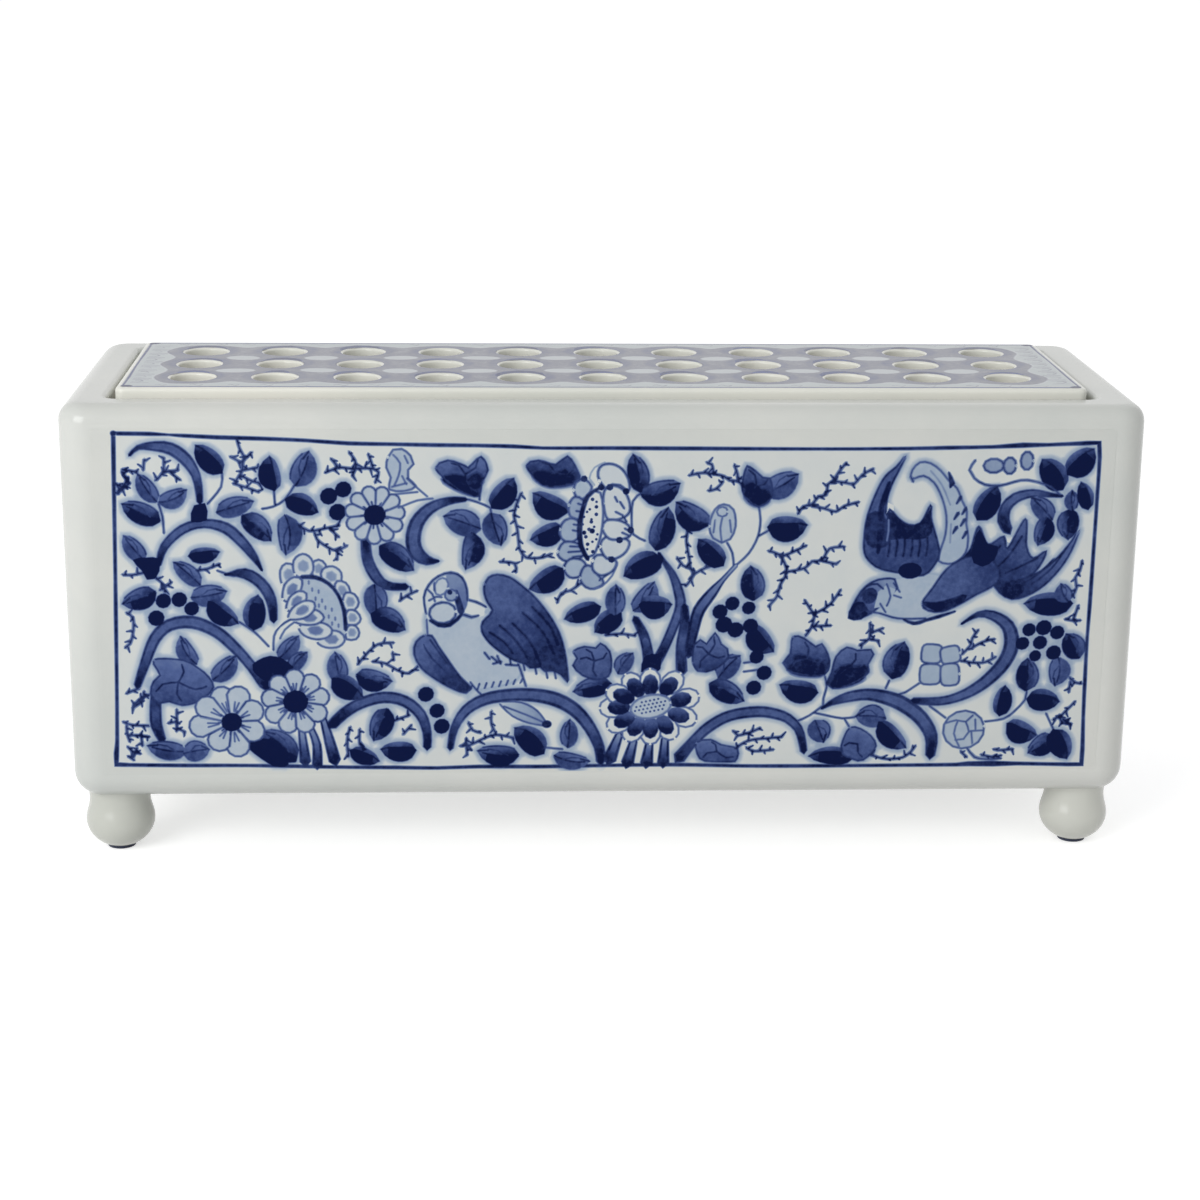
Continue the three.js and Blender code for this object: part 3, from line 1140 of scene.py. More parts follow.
def paintFinish(name, look):
    # the trough's own glaze with cobalt under it, thin where the brush was dry and dark where it pooled
    finish, tree, shader = newFinish(name)
    place = nodeAt(tree, "ShaderNodeTexCoord").outputs["Object"]
    tone = nodeAt(tree, "ShaderNodeAttribute", attribute_name="tone").outputs["Fac"]
    panel = nodeAt(tree, "ShaderNodeAttribute", attribute_name="panel").outputs["Fac"]
    plain = glazeColour(tree, place, glazeLook)
    hazy = mixOn(tree, noiseOn(tree, place, 120, 4, 0.6), linear(look["ground"]), linear(look["haze"]))
    ground = mixOn(tree, panel, plain, hazy)
    streaky = mathOn(tree, "SUBTRACT", noiseOn(tree, place, look["streakScale"], 3, 0.6), 0.5)
    pooled = mathOn(tree, "SUBTRACT", noiseOn(tree, place, look["poolScale"], 2, 0.5), 0.5)
    streaks = mathOn(tree, "MULTIPLY", streaky, look["streaks"])
    pools = mathOn(tree, "MULTIPLY", pooled, look["pools"])
    vary = mathOn(tree, "ADD", mathOn(tree, "ADD", streaks, pools), 1.0)
    wash = mathOn(tree, "MULTIPLY", tone, vary, True)
    colour = rampOn(tree, wash, [(stop, linear(c)) for stop, c in look["tones"]])
    covers = mathOn(tree, "MULTIPLY", tone, 9, True)
    tree.links.new(mixOn(tree, covers, ground, colour), shader.inputs["Base Color"])
    glazeSurface(tree, shader, place, {**glazeLook, "gloss": look["gloss"]})
    return finish


# The front panel: birds among blossoms, arched leaves and thorny twigs, a usual pattern
# Lines hold across, up and, where they swell, width; leaves hold tip, foot, width and kind.

borderLine = [
    (-113.5, 89.6, 0.9), (-105, 89.5, 0.9), (-101, 89.3, 0.5), (-98, 89.1, 0.8), (-90, 88.7, 0.95),
    (-80, 88.4, 0.9), (-70, 88, 0.8), (-60, 87.3, 0.9), (-50, 87.1, 0.8), (-40, 86.9, 0.9),
    (-30, 86.8, 0.8), (-22, 86.6, 0.9), (-15, 86.2, 0.7), (0, 86.2, 0.85), (20, 86.1, 0.9), (50, 86, 0.7),
    (70, 86.1, 0.8), (80, 86.3, 0.9), (90, 86.5, 0.8), (97, 86.9, 1.2), (103, 87, 0.8), (112, 87.4, 1),
    (115, 87.5, 1.2), (115.3, 84, 0.9), (115.3, 70, 0.8), (115.2, 48, 0.9), (115.1, 40, 0.7),
    (115.2, 30, 0.9), (115.4, 20, 0.8), (115.7, 12, 1), (115.7, 8, 1.3), (112, 8, 0.9), (100, 8.3, 0.9),
    (94, 8.3, 1.4), (88, 8.3, 1.2), (85, 8.1, 0.9), (60, 8, 0.8), (44, 8, 0.9), (32, 8.1, 0.8),
    (18, 8.5, 0.9), (0, 8.4, 0.8), (-15, 8.2, 0.9), (-30, 8.3, 0.9), (-40, 8, 0.8), (-50, 8.2, 0.9),
    (-60, 8.3, 0.8), (-72, 8.6, 0.9), (-85, 8.9, 0.8), (-100, 9, 0.9), (-113, 9.2, 0.9), (-116, 9.3, 1.4),
    (-115.9, 12, 1.2), (-115.6, 15, 0.9), (-115.1, 30, 0.8), (-114.6, 48, 0.9), (-114.4, 55, 0.8),
    (-113.9, 75, 0.9), (-113.6, 86, 1), (-113.5, 89.6, 1),
]

archRibbons = [
    [
        (-110, 84.5, 0.8), (-108, 86.3, 1.2), (-104, 86.6, 2.4), (-100.5, 86, 3), (-97.2, 83.5, 3),
        (-95, 79.8, 2.2), (-94.4, 76, 1.8), (-94.3, 73.5, 1.5)
    ],
    [
        (-104.3, 58.5, 1.4), (-102.8, 62.8, 2), (-98.5, 66.9, 2.3), (-93.5, 68.3, 2.2),
        (-88.5, 67.2, 2.8), (-84.8, 63.8, 2.6), (-82, 60, 1.8), (-80.4, 57, 0.4)
    ],
    [(-89, 56, 0.4), (-84.5, 56.3, 2.6), (-80.8, 54, 2.8), (-78.5, 50, 2.6), (-78, 45, 1.8)],
    [
        (-110.3, 29, 1.8), (-108.3, 34.5, 2.4), (-105.8, 40.5, 2.8), (-102.3, 43.8, 3), (-97, 44.5, 3.2),
        (-91.5, 42.2, 3), (-87.2, 38.2, 2.8), (-83.5, 33.7, 2.6), (-80.3, 29.3, 3.2), (-79.3, 27.7, 1.5)
    ],
    [(-106, 27, 2.6), (-106.3, 23, 2.8), (-106.2, 19, 2.8), (-105, 15.5, 2)],
    [
        (-33, 74, 1.2), (-37, 73.6, 2), (-41.3, 71.8, 2.8), (-44.3, 68.3, 3.4), (-45.2, 64, 3.6),
        (-44.3, 61, 3.6), (-41.8, 59.3, 2.4), (-39.3, 59.2, 0.6)
    ],
    [
        (-56.2, 64, 2.4), (-56, 60.5, 2.6), (-55, 57.3, 2.8), (-52.8, 54, 2.6), (-50, 53, 2),
        (-47, 53, 1.8)
    ],
    [
        (-64.8, 19, 2.6), (-62, 21.8, 2.8), (-58, 24.3, 2.8), (-52.5, 25.8, 2.9), (-47.5, 24.8, 2.9),
        (-43.8, 21.5, 2.7), (-42.3, 17, 2.2), (-42.3, 13.3, 2)
    ],
    [
        (-36.8, 13, 1.6), (-35.8, 18, 2), (-33, 22.5, 2.6), (-28.5, 25.2, 3), (-23, 26.2, 3.2),
        (-17, 26.2, 3.4), (-11.5, 25, 3.6), (-7, 22.3, 3.4), (-3.5, 18, 3), (-1.2, 13, 2.6),
        (-0.8, 9.5, 2.4)
    ],
    [
        (18, 10.2, 3.2), (21, 14, 2.6), (25, 18, 2.8), (30, 20.8, 2.8), (36.5, 21.8, 2.8),
        (41, 21.2, 2.7), (44, 20, 2.5), (46.5, 17.5, 2.2), (47.5, 14.5, 2), (48, 11.8, 1.8)
    ],
    [
        (52, 22.5, 0.6), (54, 23.8, 1.4), (58, 25.3, 2.6), (63, 26, 3), (68, 25, 3.6), (72, 23.2, 3.8),
        (76, 20, 3.6), (78.7, 15.5, 3.2), (78.7, 10.5, 2.4)
    ],
    [
        (74, 24.3, 1.8), (80, 24.2, 2.2), (84, 25, 2.4), (88, 26.8, 2.8), (92, 29.8, 3.2),
        (95.5, 34, 3.5), (97, 38.5, 3.7), (95.8, 43, 3.2), (92, 45.6, 2.4), (88.5, 45.8, 1.5),
        (84.7, 43.5, 0.4)
    ],
    [
        (107, 74.7, 0.8), (104, 75, 1.3), (100, 75.4, 2), (96, 74.3, 2.6), (93.7, 71.8, 2.8),
        (93.4, 68.8, 3), (94.6, 66.4, 2.4)
    ],
    [
        (12.3, 61, 0.8), (13.5, 59, 1.2), (15.5, 56, 1.8), (17, 52, 2.4), (17.6, 48, 2.6), (16, 43, 2.4),
        (14, 38, 2.4), (12, 34, 2.6)
    ],
    [(7, 45, 1.8), (9, 41, 2.4), (10, 37, 2.6), (10.5, 33, 3)],
    [(18.6, 48, 1.8), (18.7, 43, 2.6), (18, 38, 2.6), (18.2, 32, 2.8)],
]

solidStrokes = [
    [
        (30.5, 58, 0.7), (27.5, 54.5, 0.9), (25, 51.3, 2.2), (22, 47, 2.6), (20.8, 42, 2.2),
        (19.8, 36, 1.4)
    ],
    [(-72, 17.5, 1.4), (-71.3, 9.8, 2.4)], [(-70, 18.5, 1.2), (-68.5, 14, 1.8), (-68.5, 8.9, 2.2)],
    [(-67, 21, 1.2), (-65.5, 15, 2.2), (-64.3, 10, 2.6)], [(3.5, 16, 1.6), (1.3, 10, 3)],
    [(7, 14.5, 1.6), (5.6, 9, 2.8)], [(10.8, 14, 1.6), (10.2, 9, 2.8)], [(14.5, 15, 1.6), (14.2, 9, 2.6)],
]

knots = [
    [(-96.3, 69), (-95.5, 72.5), (-93.2, 73), (-93, 69.3)],
    [(-110, 59.5), (-107, 60), (-104.5, 59.8), (-104.3, 57), (-105.3, 55.2), (-107, 55), (-108, 57)],
    [(-83, 34), (-79, 36), (-75, 34.5), (-73.5, 32), (-75, 30.2), (-79, 29.8), (-82, 31.5)],
    [(8.7, 32), (9.5, 35.5), (12.5, 36), (13, 32.5), (11, 31.3)],
    [(-85, 14), (-79, 8.9), (-75.5, 9.2), (-76.5, 12.5), (-80.5, 15.5)],
]

leaves = [
    (-94.8, 86.8, -89, 80.4, 5, "D"), (-108.3, 80, -104.2, 73.5, 4, "m"),
    (-97.3, 76.3, -103.7, 73.4, 4.2, "m"), (-112.2, 73, -103.6, 69, 5, "d"),
    (-112.1, 65.4, -107.5, 59.5, 4, "m"), (-90.2, 61.5, -97.3, 60.5, 3.6, "D"),
    (-100.8, 59, -94.8, 53.5, 4, "m"), (-88.8, 52, -97, 50.5, 5, "m"), (-113, 49, -105.3, 52, 5, "d"),
    (-86.3, 44.2, -93, 49.5, 5, "D"), (-81.5, 51, -82.7, 42.6, 5, "D"), (-82, 73.6, -90.5, 71, 4.5, "m"),
    (-78.2, 64.2, -84.5, 70.3, 5, "d"), (-78, 84.2, -77, 76.2, 4.8, "D"),
    (-69, 85.4, -72.2, 77.3, 5.6, "m"), (-67.2, 71, -74.5, 74, 4.8, "D"),
    (-74.8, 60.8, -74.8, 70.3, 5.4, "m"), (-99.8, 41, -96.3, 34.2, 4, "m"),
    (-87, 36.2, -92.7, 30.3, 4.5, "m"), (-108.5, 14, -99.5, 12.5, 4.5, "m"), (-94, 13, -100, 12, 5, "m"),
    (-81.5, 17.5, -73.5, 10, 6, "d"), (-72.3, 41, -77, 35.5, 4, "m"), (-70.4, 37, -74.5, 32.5, 3.5, "m"),
    (-45.2, 57, -52.8, 63, 5.5, "d"), (-54, 45.5, -54.3, 53.5, 5.3, "m"),
    (-47.3, 42.5, -55, 46.5, 5.5, "d"), (-63.8, 37, -62.5, 29.5, 4.6, "m"),
    (-57.5, 26, -64.5, 30.5, 5.5, "D"), (-50.5, 29.8, -58.8, 31.5, 5.2, "d"),
    (-55, 15, -51.8, 23, 5.3, "d"), (-53.3, 12.8, -45, 12.5, 4.8, "D"), (-53.8, 9.8, -60.5, 12.5, 4, "D"),
    (-21.8, 79, -26.8, 72, 5.3, "D"), (-24.7, 63, -27, 70.7, 5.5, "m"), (-38, 70, -29.5, 67, 6, "m"),
    (-33, 57.2, -31.5, 66, 5, "d"), (-17.2, 75.5, -9.2, 71, 5.8, "D"), (-17.8, 64.3, -10.5, 67.5, 5, "D"),
    (-18, 52.3, -10.2, 57.3, 5.5, "D"), (-9.7, 45, -1.3, 48, 4.5, "D"), (-2.5, 41.8, 3.5, 46.5, 5, "D"),
    (-7.5, 27, 1.5, 29, 4.8, "d"), (-21.4, 18, -14.5, 11.5, 6, "D"), (-30.3, 12.3, -20.5, 11.3, 5, "d"),
    (-8.3, 20, -8.8, 13, 4, "m"), (-3.5, 9.5, -12, 11, 4, "m"), (2.3, 53.3, 2.3, 46, 4.5, "m"),
    (11.3, 54, 6.5, 47, 5, "m"), (15.5, 48.5, 8, 48.5, 5.6, "D"), (6.5, 36.5, 3, 31.5, 4, "m"),
    (5.9, 84.7, 8, 75.8, 4.8, "d"), (16.9, 77.8, 8, 75, 5.8, "d"), (14.3, 72, 11.5, 61.8, 5.6, "d"),
    (16.2, 73.3, 24, 68, 6, "d"), (21.6, 64.3, 27.5, 58, 5.2, "D"), (4.2, 55.5, 13, 59.8, 6, "D"),
    (44.5, 80, 36.8, 75.5, 5.8, "m"), (47, 67.8, 37.8, 67.3, 6, "D"), (34, 57.8, 35, 49.5, 5.5, "d"),
    (32, 35.8, 27, 30.3, 5, "m"), (33.2, 24.5, 25, 29, 5.2, "d"), (40, 36.8, 34.5, 43, 5.5, "D"),
    (41.8, 28.5, 50.9, 26.5, 5.5, "D"), (71.2, 39, 68.5, 30, 6, "d"), (52.7, 14, 50.5, 19.5, 5.3, "m"),
    (49.3, 10.5, 60, 10, 4.2, "D"), (60.3, 20.5, 67.5, 20, 5.5, "m"), (72.7, 12.5, 66, 19, 5, "D"),
    (101.8, 83.5, 107, 76.3, 6, "D"), (113.8, 86, 108, 80, 6, "D"), (91.5, 77, 87.2, 69, 5.5, "D"),
    (99.8, 74.3, 105, 69, 4.5, "m"), (101.9, 62.8, 103.5, 69.5, 4.5, "d"), (109, 64.2, 109, 71.5, 5, "d"),
    (109.3, 76, 109.7, 71.3, 3, "m"), (111.3, 78, 113.3, 71.5, 3.6, "D"), (96, 28, 95, 20.5, 4.2, "D"),
    (101, 34.8, 101.2, 26.8, 5.3, "d"), (109.3, 24, 101.5, 24.7, 5.3, "D"),
    (104.3, 15.5, 97, 18.5, 5.5, "D"), (102.5, 11, 108, 15.5, 5, "d"), (112, 9.5, 108.3, 16.8, 5.5, "D"),
    (108, 28, 108.5, 35, 5, "m"), (110, 40.9, 113.6, 35, 5.4, "d"), (99.5, 48.5, 111, 48.5, 5.5, "D"),
    (108, 53.3, 110, 49, 4, "m"),
]

lobedLeaves = [
    (
        [
            (-106.3, 35.3), (-99.5, 35.2), (-96, 33.3), (-93.5, 31), (-92.5, 28.5), (-94, 26.5),
            (-96.5, 24.8), (-100, 24), (-103, 25), (-105.5, 24.6), (-107.3, 27), (-106.5, 30),
            (-104.9, 31.5)
        ],
        0.35, 0.72
    ),
    (
        [
            (-39.9, 81.4), (-37, 83.3), (-33, 82), (-32.3, 81.5), (-29.3, 84.2), (-27.7, 81), (-29.2, 78),
            (-29.7, 74.8), (-32.5, 75.3), (-36, 77.5)
        ],
        0.45, 0.95
    ),
    (
        [
            (-18.9, 82), (-16, 83.3), (-12, 82.3), (-9.3, 84.3), (-7, 81), (-6.5, 78.5), (-10, 77.3),
            (-15, 77.5)
        ],
        0.7, 1.0
    ),
    (
        [
            (-7.7, 37), (-5, 38.2), (-2.3, 37.8), (-1.2, 39), (1, 37), (1.5, 33.5), (0.8, 30.8), (-2, 30),
            (-5.3, 31), (-7.7, 33.5), (-6.7, 35.3)
        ],
        0.4, 0.7
    ),
    (
        [
            (31.5, 77.5), (32.5, 82), (34.5, 80.8), (36.3, 79.2), (38, 79), (38.5, 74.5), (35.5, 72.3),
            (32.3, 74.5)
        ],
        0.6, 1.0
    ),
    (
        [
            (20.8, 34), (21, 38.5), (22.5, 39.8), (24, 38.7), (26, 41.5), (27.5, 38.7), (29, 37.5),
            (29.3, 35.5), (27, 33), (24, 31.8), (22, 32)
        ],
        0.4, 0.75
    ),
    (
        [
            (44.5, 40.5), (47.3, 40), (50, 38), (51.5, 38.7), (53.5, 34.5), (52.3, 31), (46, 31.2),
            (43.5, 32.3), (42.3, 34), (44, 36.3)
        ],
        0.5, 1.0
    ),
    (
        [
            (53, 28.7), (54.5, 27.5), (59, 28.7), (63, 31.5), (62.7, 33.5), (64, 36), (63.3, 37.2),
            (60, 37), (57.5, 37.8), (55, 35.5), (54, 31.5)
        ],
        0.45, 0.95
    ),
    ([(59, 17.7), (57, 13), (57.5, 11), (60, 9.6), (62.5, 9.4), (65.5, 13), (63, 16.5)], 0.4, 0.7),
    (
        [(22, 14), (25.5, 14.8), (28, 13.5), (32, 12.5), (32, 10), (31.5, 9.2), (26, 9.2), (23, 10)], 0.4,
        0.7
    ),
]

thinStems = [
    [(-89, 80.2), (-89.3, 77), (-92.5, 73)], [(-103.8, 73), (-103, 70), (-102.8, 66)],
    [(-80, 71.8), (-77.5, 72.3), (-74.7, 74), (-72.5, 77.3)], [(-77, 72.5), (-77.2, 76.2)],
    [(-86, 44.5), (-82.5, 42), (-79.3, 38.5)], [(-36, 74), (-32, 73.9), (-27.2, 72), (-27, 70.8)],
    [(-29.6, 78), (-29.7, 73.8)], [(8, 75.5), (6, 73.5), (5.8, 68), (6.3, 65.5), (9, 64)],
    [(28.3, 63.5), (29.6, 61), (30, 58)], [(35.5, 72.3), (36, 69), (35.5, 65), (33.5, 61), (30.5, 58)],
    [(35.5, 65), (38, 66.5)], [(52.5, 30.5), (53, 28), (52.3, 25), (52.3, 23)],
    [(46.5, 19.5), (49, 20.7), (52, 23)], [(50, 21.5), (53.5, 20.7), (57, 20), (60, 20.3)],
    [(57.5, 20), (58.7, 18)], [(68, 29.5), (67.2, 27.5)], [(75.3, 28.8), (72, 26.5), (70.5, 26)],
    [(78, 23), (82, 20)], [(91.5, 19), (96, 19.7), (98.5, 21.5), (101, 24.5), (101.3, 26.5)],
    [(106.3, 21), (107.3, 19), (108.3, 17)], [(-14, 13), (-10, 12.6)], [(33, 34), (35, 34.3)],
    [(33, 31.8), (36.5, 32.3)], [(-90.8, 57), (-87, 55.6)],
]

twigs = [
    [(-85.3, 88), (-84.8, 86), (-83.8, 84), (-84.2, 82.3), (-84.5, 80.5), (-86, 78.3)],
    [(-87, 84.2), (-84.6, 82.8)], [(-82, 85.3), (-83.7, 83.5)], [(-84, 81), (-80.8, 81.6)],
    [(-107, 81), (-106.7, 83.5)], [(-111.8, 81.2), (-108.5, 80.5)],
    [(-104.3, 78.5), (-102.5, 80.5), (-102.2, 83.8)], [(-102.5, 80.5), (-99, 81)],
    [(-113, 76), (-111.5, 77.5), (-110.5, 79.3)], [(-112.8, 56), (-110.3, 56), (-108, 56.5)],
    [(-104.2, 52.3), (-102.8, 53.3), (-101.5, 54.2)], [(-95.5, 57), (-92.8, 57.5), (-90.2, 58.6)],
    [(-112.2, 46.8), (-110.7, 45.6), (-110.8, 42.2), (-111.6, 39.3), (-112.8, 38.3)],
    [(-113, 27), (-110, 28.3)], [(-111.5, 24), (-110, 25.5), (-107.7, 26.7)],
    [(-114, 20), (-112, 19.2), (-108, 19)], [(-111, 13.5), (-112, 11)], [(-101.5, 17.5), (-101.3, 23)],
    [(-71.8, 68), (-69.3, 66.5), (-66, 67), (-62.3, 67.8)],
    [(-68, 66), (-67.5, 64.5), (-66, 63.2), (-64, 62), (-62.8, 61.8), (-60.5, 63)],
    [(-65.3, 80.4), (-63.3, 81.2), (-61.8, 81.6), (-58.5, 81.3), (-55, 81.4), (-53, 80.5), (-53.8, 78)],
    [(-59.8, 85.3), (-58.4, 83.3), (-58.3, 81.3), (-59, 79.7)], [(-55.3, 84.8), (-54.2, 81.4)],
    [(-58.5, 34), (-56, 37), (-53.5, 39), (-50, 39.3)],
    [(-55, 34.7), (-52, 34.2), (-49.5, 32.7), (-46.5, 31.7), (-44.3, 33.5)], [(-50.3, 37), (-50, 35)],
    [(-60.5, 18.5), (-61.3, 15), (-61, 11)], [(-58.3, 18), (-58.3, 14), (-57, 12.8)],
    [(-50, 20), (-46.5, 21.3)], [(-48, 16.5), (-46, 18.8)], [(-48.5, 49.5), (-46.5, 51), (-44.3, 52)],
    [
        (-19.9, 75.6), (-21, 73), (-21.7, 70), (-21, 67.5), (-20.6, 64), (-20.3, 62), (-18.8, 60),
        (-15, 60), (-12.8, 61)
    ],
    [(-25, 59), (-21.5, 58.6), (-21.2, 56.5)], [(-11.5, 49), (-10.5, 51.3), (-8.3, 52), (-6, 53.7)],
    [(-34.5, 13.5), (-32, 13.8), (-29, 15.3), (-26, 16.3), (-21.7, 15.5)],
    [(-27, 22.3), (-27, 19), (-26, 16.8)], [(-32.5, 19.5), (-31.5, 17.5), (-29.5, 16.8)],
    [(-33, 15.5), (-32.8, 11.3)], [(0, 41), (4, 41.3), (7, 40.8)],
    [(19, 79.7), (22, 80.3), (25, 80), (27.2, 79.5), (28.5, 78.5), (30.5, 78.3), (32, 77)],
    [(23, 82.8), (24.3, 82.3), (24.7, 80.3)], [(29.5, 82.3), (30.3, 80), (30.5, 78.5)],
    [(23.5, 76), (25.5, 76.5), (27, 78.3)],
    [(19, 67), (18.7, 64), (19, 62), (19.5, 59.5), (19.8, 57.3), (20.5, 55.5), (18.8, 53)],
    [(16.5, 60), (18, 58), (19.5, 57.3)], [(20.5, 55.8), (22.5, 57), (24.3, 57.8)],
    [(38, 61.5), (40.5, 60.7), (42, 58.5), (42.5, 56), (41, 53), (40.5, 50.5), (38.5, 48)],
    [(41, 60), (44, 61.3), (47, 62.8)],
    [(42, 56.3), (46.8, 57.3), (48.5, 59), (50.8, 59.2), (52.5, 62), (56, 62.5)],
    [(51, 59), (54.2, 58.3)],
    [
        (44.8, 70.5), (46, 72.3), (48, 72.7), (49.5, 74.7), (51.3, 75), (51.5, 77.5), (52.8, 78.5),
        (54, 80.5), (55.7, 82.7)
    ],
    [(52.8, 78.3), (55.5, 78), (57.8, 77.7), (59.5, 79.8), (62.2, 81.3)],
    [(48, 72.3), (50.8, 71.8), (53.7, 71), (55.5, 72.3), (59, 73.3)],
    [(49.5, 46.3), (49, 43), (47.5, 40.7)], [(49, 43), (53.5, 43.2)],
    [(49.3, 46), (53, 48.3), (55.5, 52)], [(49.3, 46), (47, 49.5)],
    [(62.8, 44), (62.8, 40), (60.5, 38.3)], [(63, 41.3), (66, 42.5)], [(63, 39.7), (65, 39.4)],
    [(31.5, 12.5), (33.5, 14), (36, 14.8), (38.5, 15), (42.5, 15.4)],
    [(34, 12.8), (36, 11.8), (40.7, 12.2)], [(30.8, 17), (32, 15.8), (35.5, 16.8), (37.3, 17.7)],
    [(64, 10.8), (67, 9.8), (68.5, 9.6), (72, 10), (74, 11.5), (75, 13)],
    [(85.2, 36), (87, 38), (87.5, 40), (88.8, 42)], [(87.5, 37.5), (90, 39), (92.8, 39.7)],
    [(85, 34.3), (88.5, 33.8), (91, 34), (93.3, 35.3)],
    [(112.7, 59), (112.3, 56.5), (111.3, 54.8), (111.8, 52.5), (111, 50.5)], [(112.5, 48), (111.5, 44.5)],
    [(111.5, 30), (113, 28.7), (114.4, 28.5)], [(111.7, 29), (111.5, 26.3)],
    [(113.2, 24), (111, 21.5), (109.5, 20), (108, 19.5)], [(110.5, 19.5), (112.5, 18)],
    [(94, 12), (95, 11.7), (98.7, 12)], [(-101, 80.6), (-98.6, 78.6)],
    [(-113.3, 77.8), (-111.6, 76.8), (-110.2, 77.9)], [(-111.6, 76.8), (-113, 75.4)],
    [(-112, 80.6), (-110.6, 78.9)], [(-86.5, 77.8), (-83.3, 76.8), (-80.7, 75.8)],
    [(-84.9, 79.8), (-82.4, 78.5), (-80.5, 77.9)], [(-105, 55.3), (-103, 53.2), (-103.2, 51.8)],
    [(-108.8, 27.5), (-109.3, 25.2), (-111.6, 23.4)], [(-113.2, 19), (-113.2, 17), (-112.6, 15)],
    [(-113, 16.6), (-110.2, 16.6), (-108, 16.2)], [(-109.9, 16.8), (-109.7, 14)],
    [(-113.2, 13.8), (-112.2, 12.6), (-110.2, 12)], [(-113.2, 11.4), (-111.8, 10.4)],
    [(-103.4, 19.6), (-101.4, 20)], [(-101.4, 18.4), (-99.6, 17.4)], [(-63.9, 83.7), (-62.4, 81.8)],
    [(-62.8, 61.8), (-62.9, 59.6)], [(-64.5, 67), (-62.4, 65)],
    [(109.5, 44.6), (111.6, 44.2), (113.2, 44.3)], [(109.6, 20.6), (110.3, 18.6), (112.6, 18.4)],
    [(86, 11.5), (87.6, 10)], [(91, 10.6), (94, 10), (96, 10.4)],
]

berries = [
    (-103.5, 49.7, 1.7), (-99.8, 50, 1.7), (-97, 47.8, 1.6), (-105.3, 45.5, 1.8), (-64.6, 74.8, 1.9),
    (-61.2, 76.4, 1.8), (-62.6, 71, 1.9), (-42.5, 26.5, 1.8), (-39.9, 22.4, 1.7), (-38.8, 18.5, 1.8),
    (27, 46.7, 1.7), (29.9, 48.7, 1.6), (33.8, 47.6, 1.5), (28, 43.5, 1.9), (30.8, 42.2, 1.8),
    (34.3, 43.2, 1.7), (36, 35.5, 1.6), (37.9, 31.5, 1.7), (35.5, 27.8, 1.7), (101, 42, 1.5),
    (104.5, 42.5, 1.8), (107.8, 41.3, 1.6), (99.6, 38.6, 1.5), (103.8, 38.8, 1.6), (107.2, 36.3, 1.7),
    (102.8, 35.5, 1.3),
]


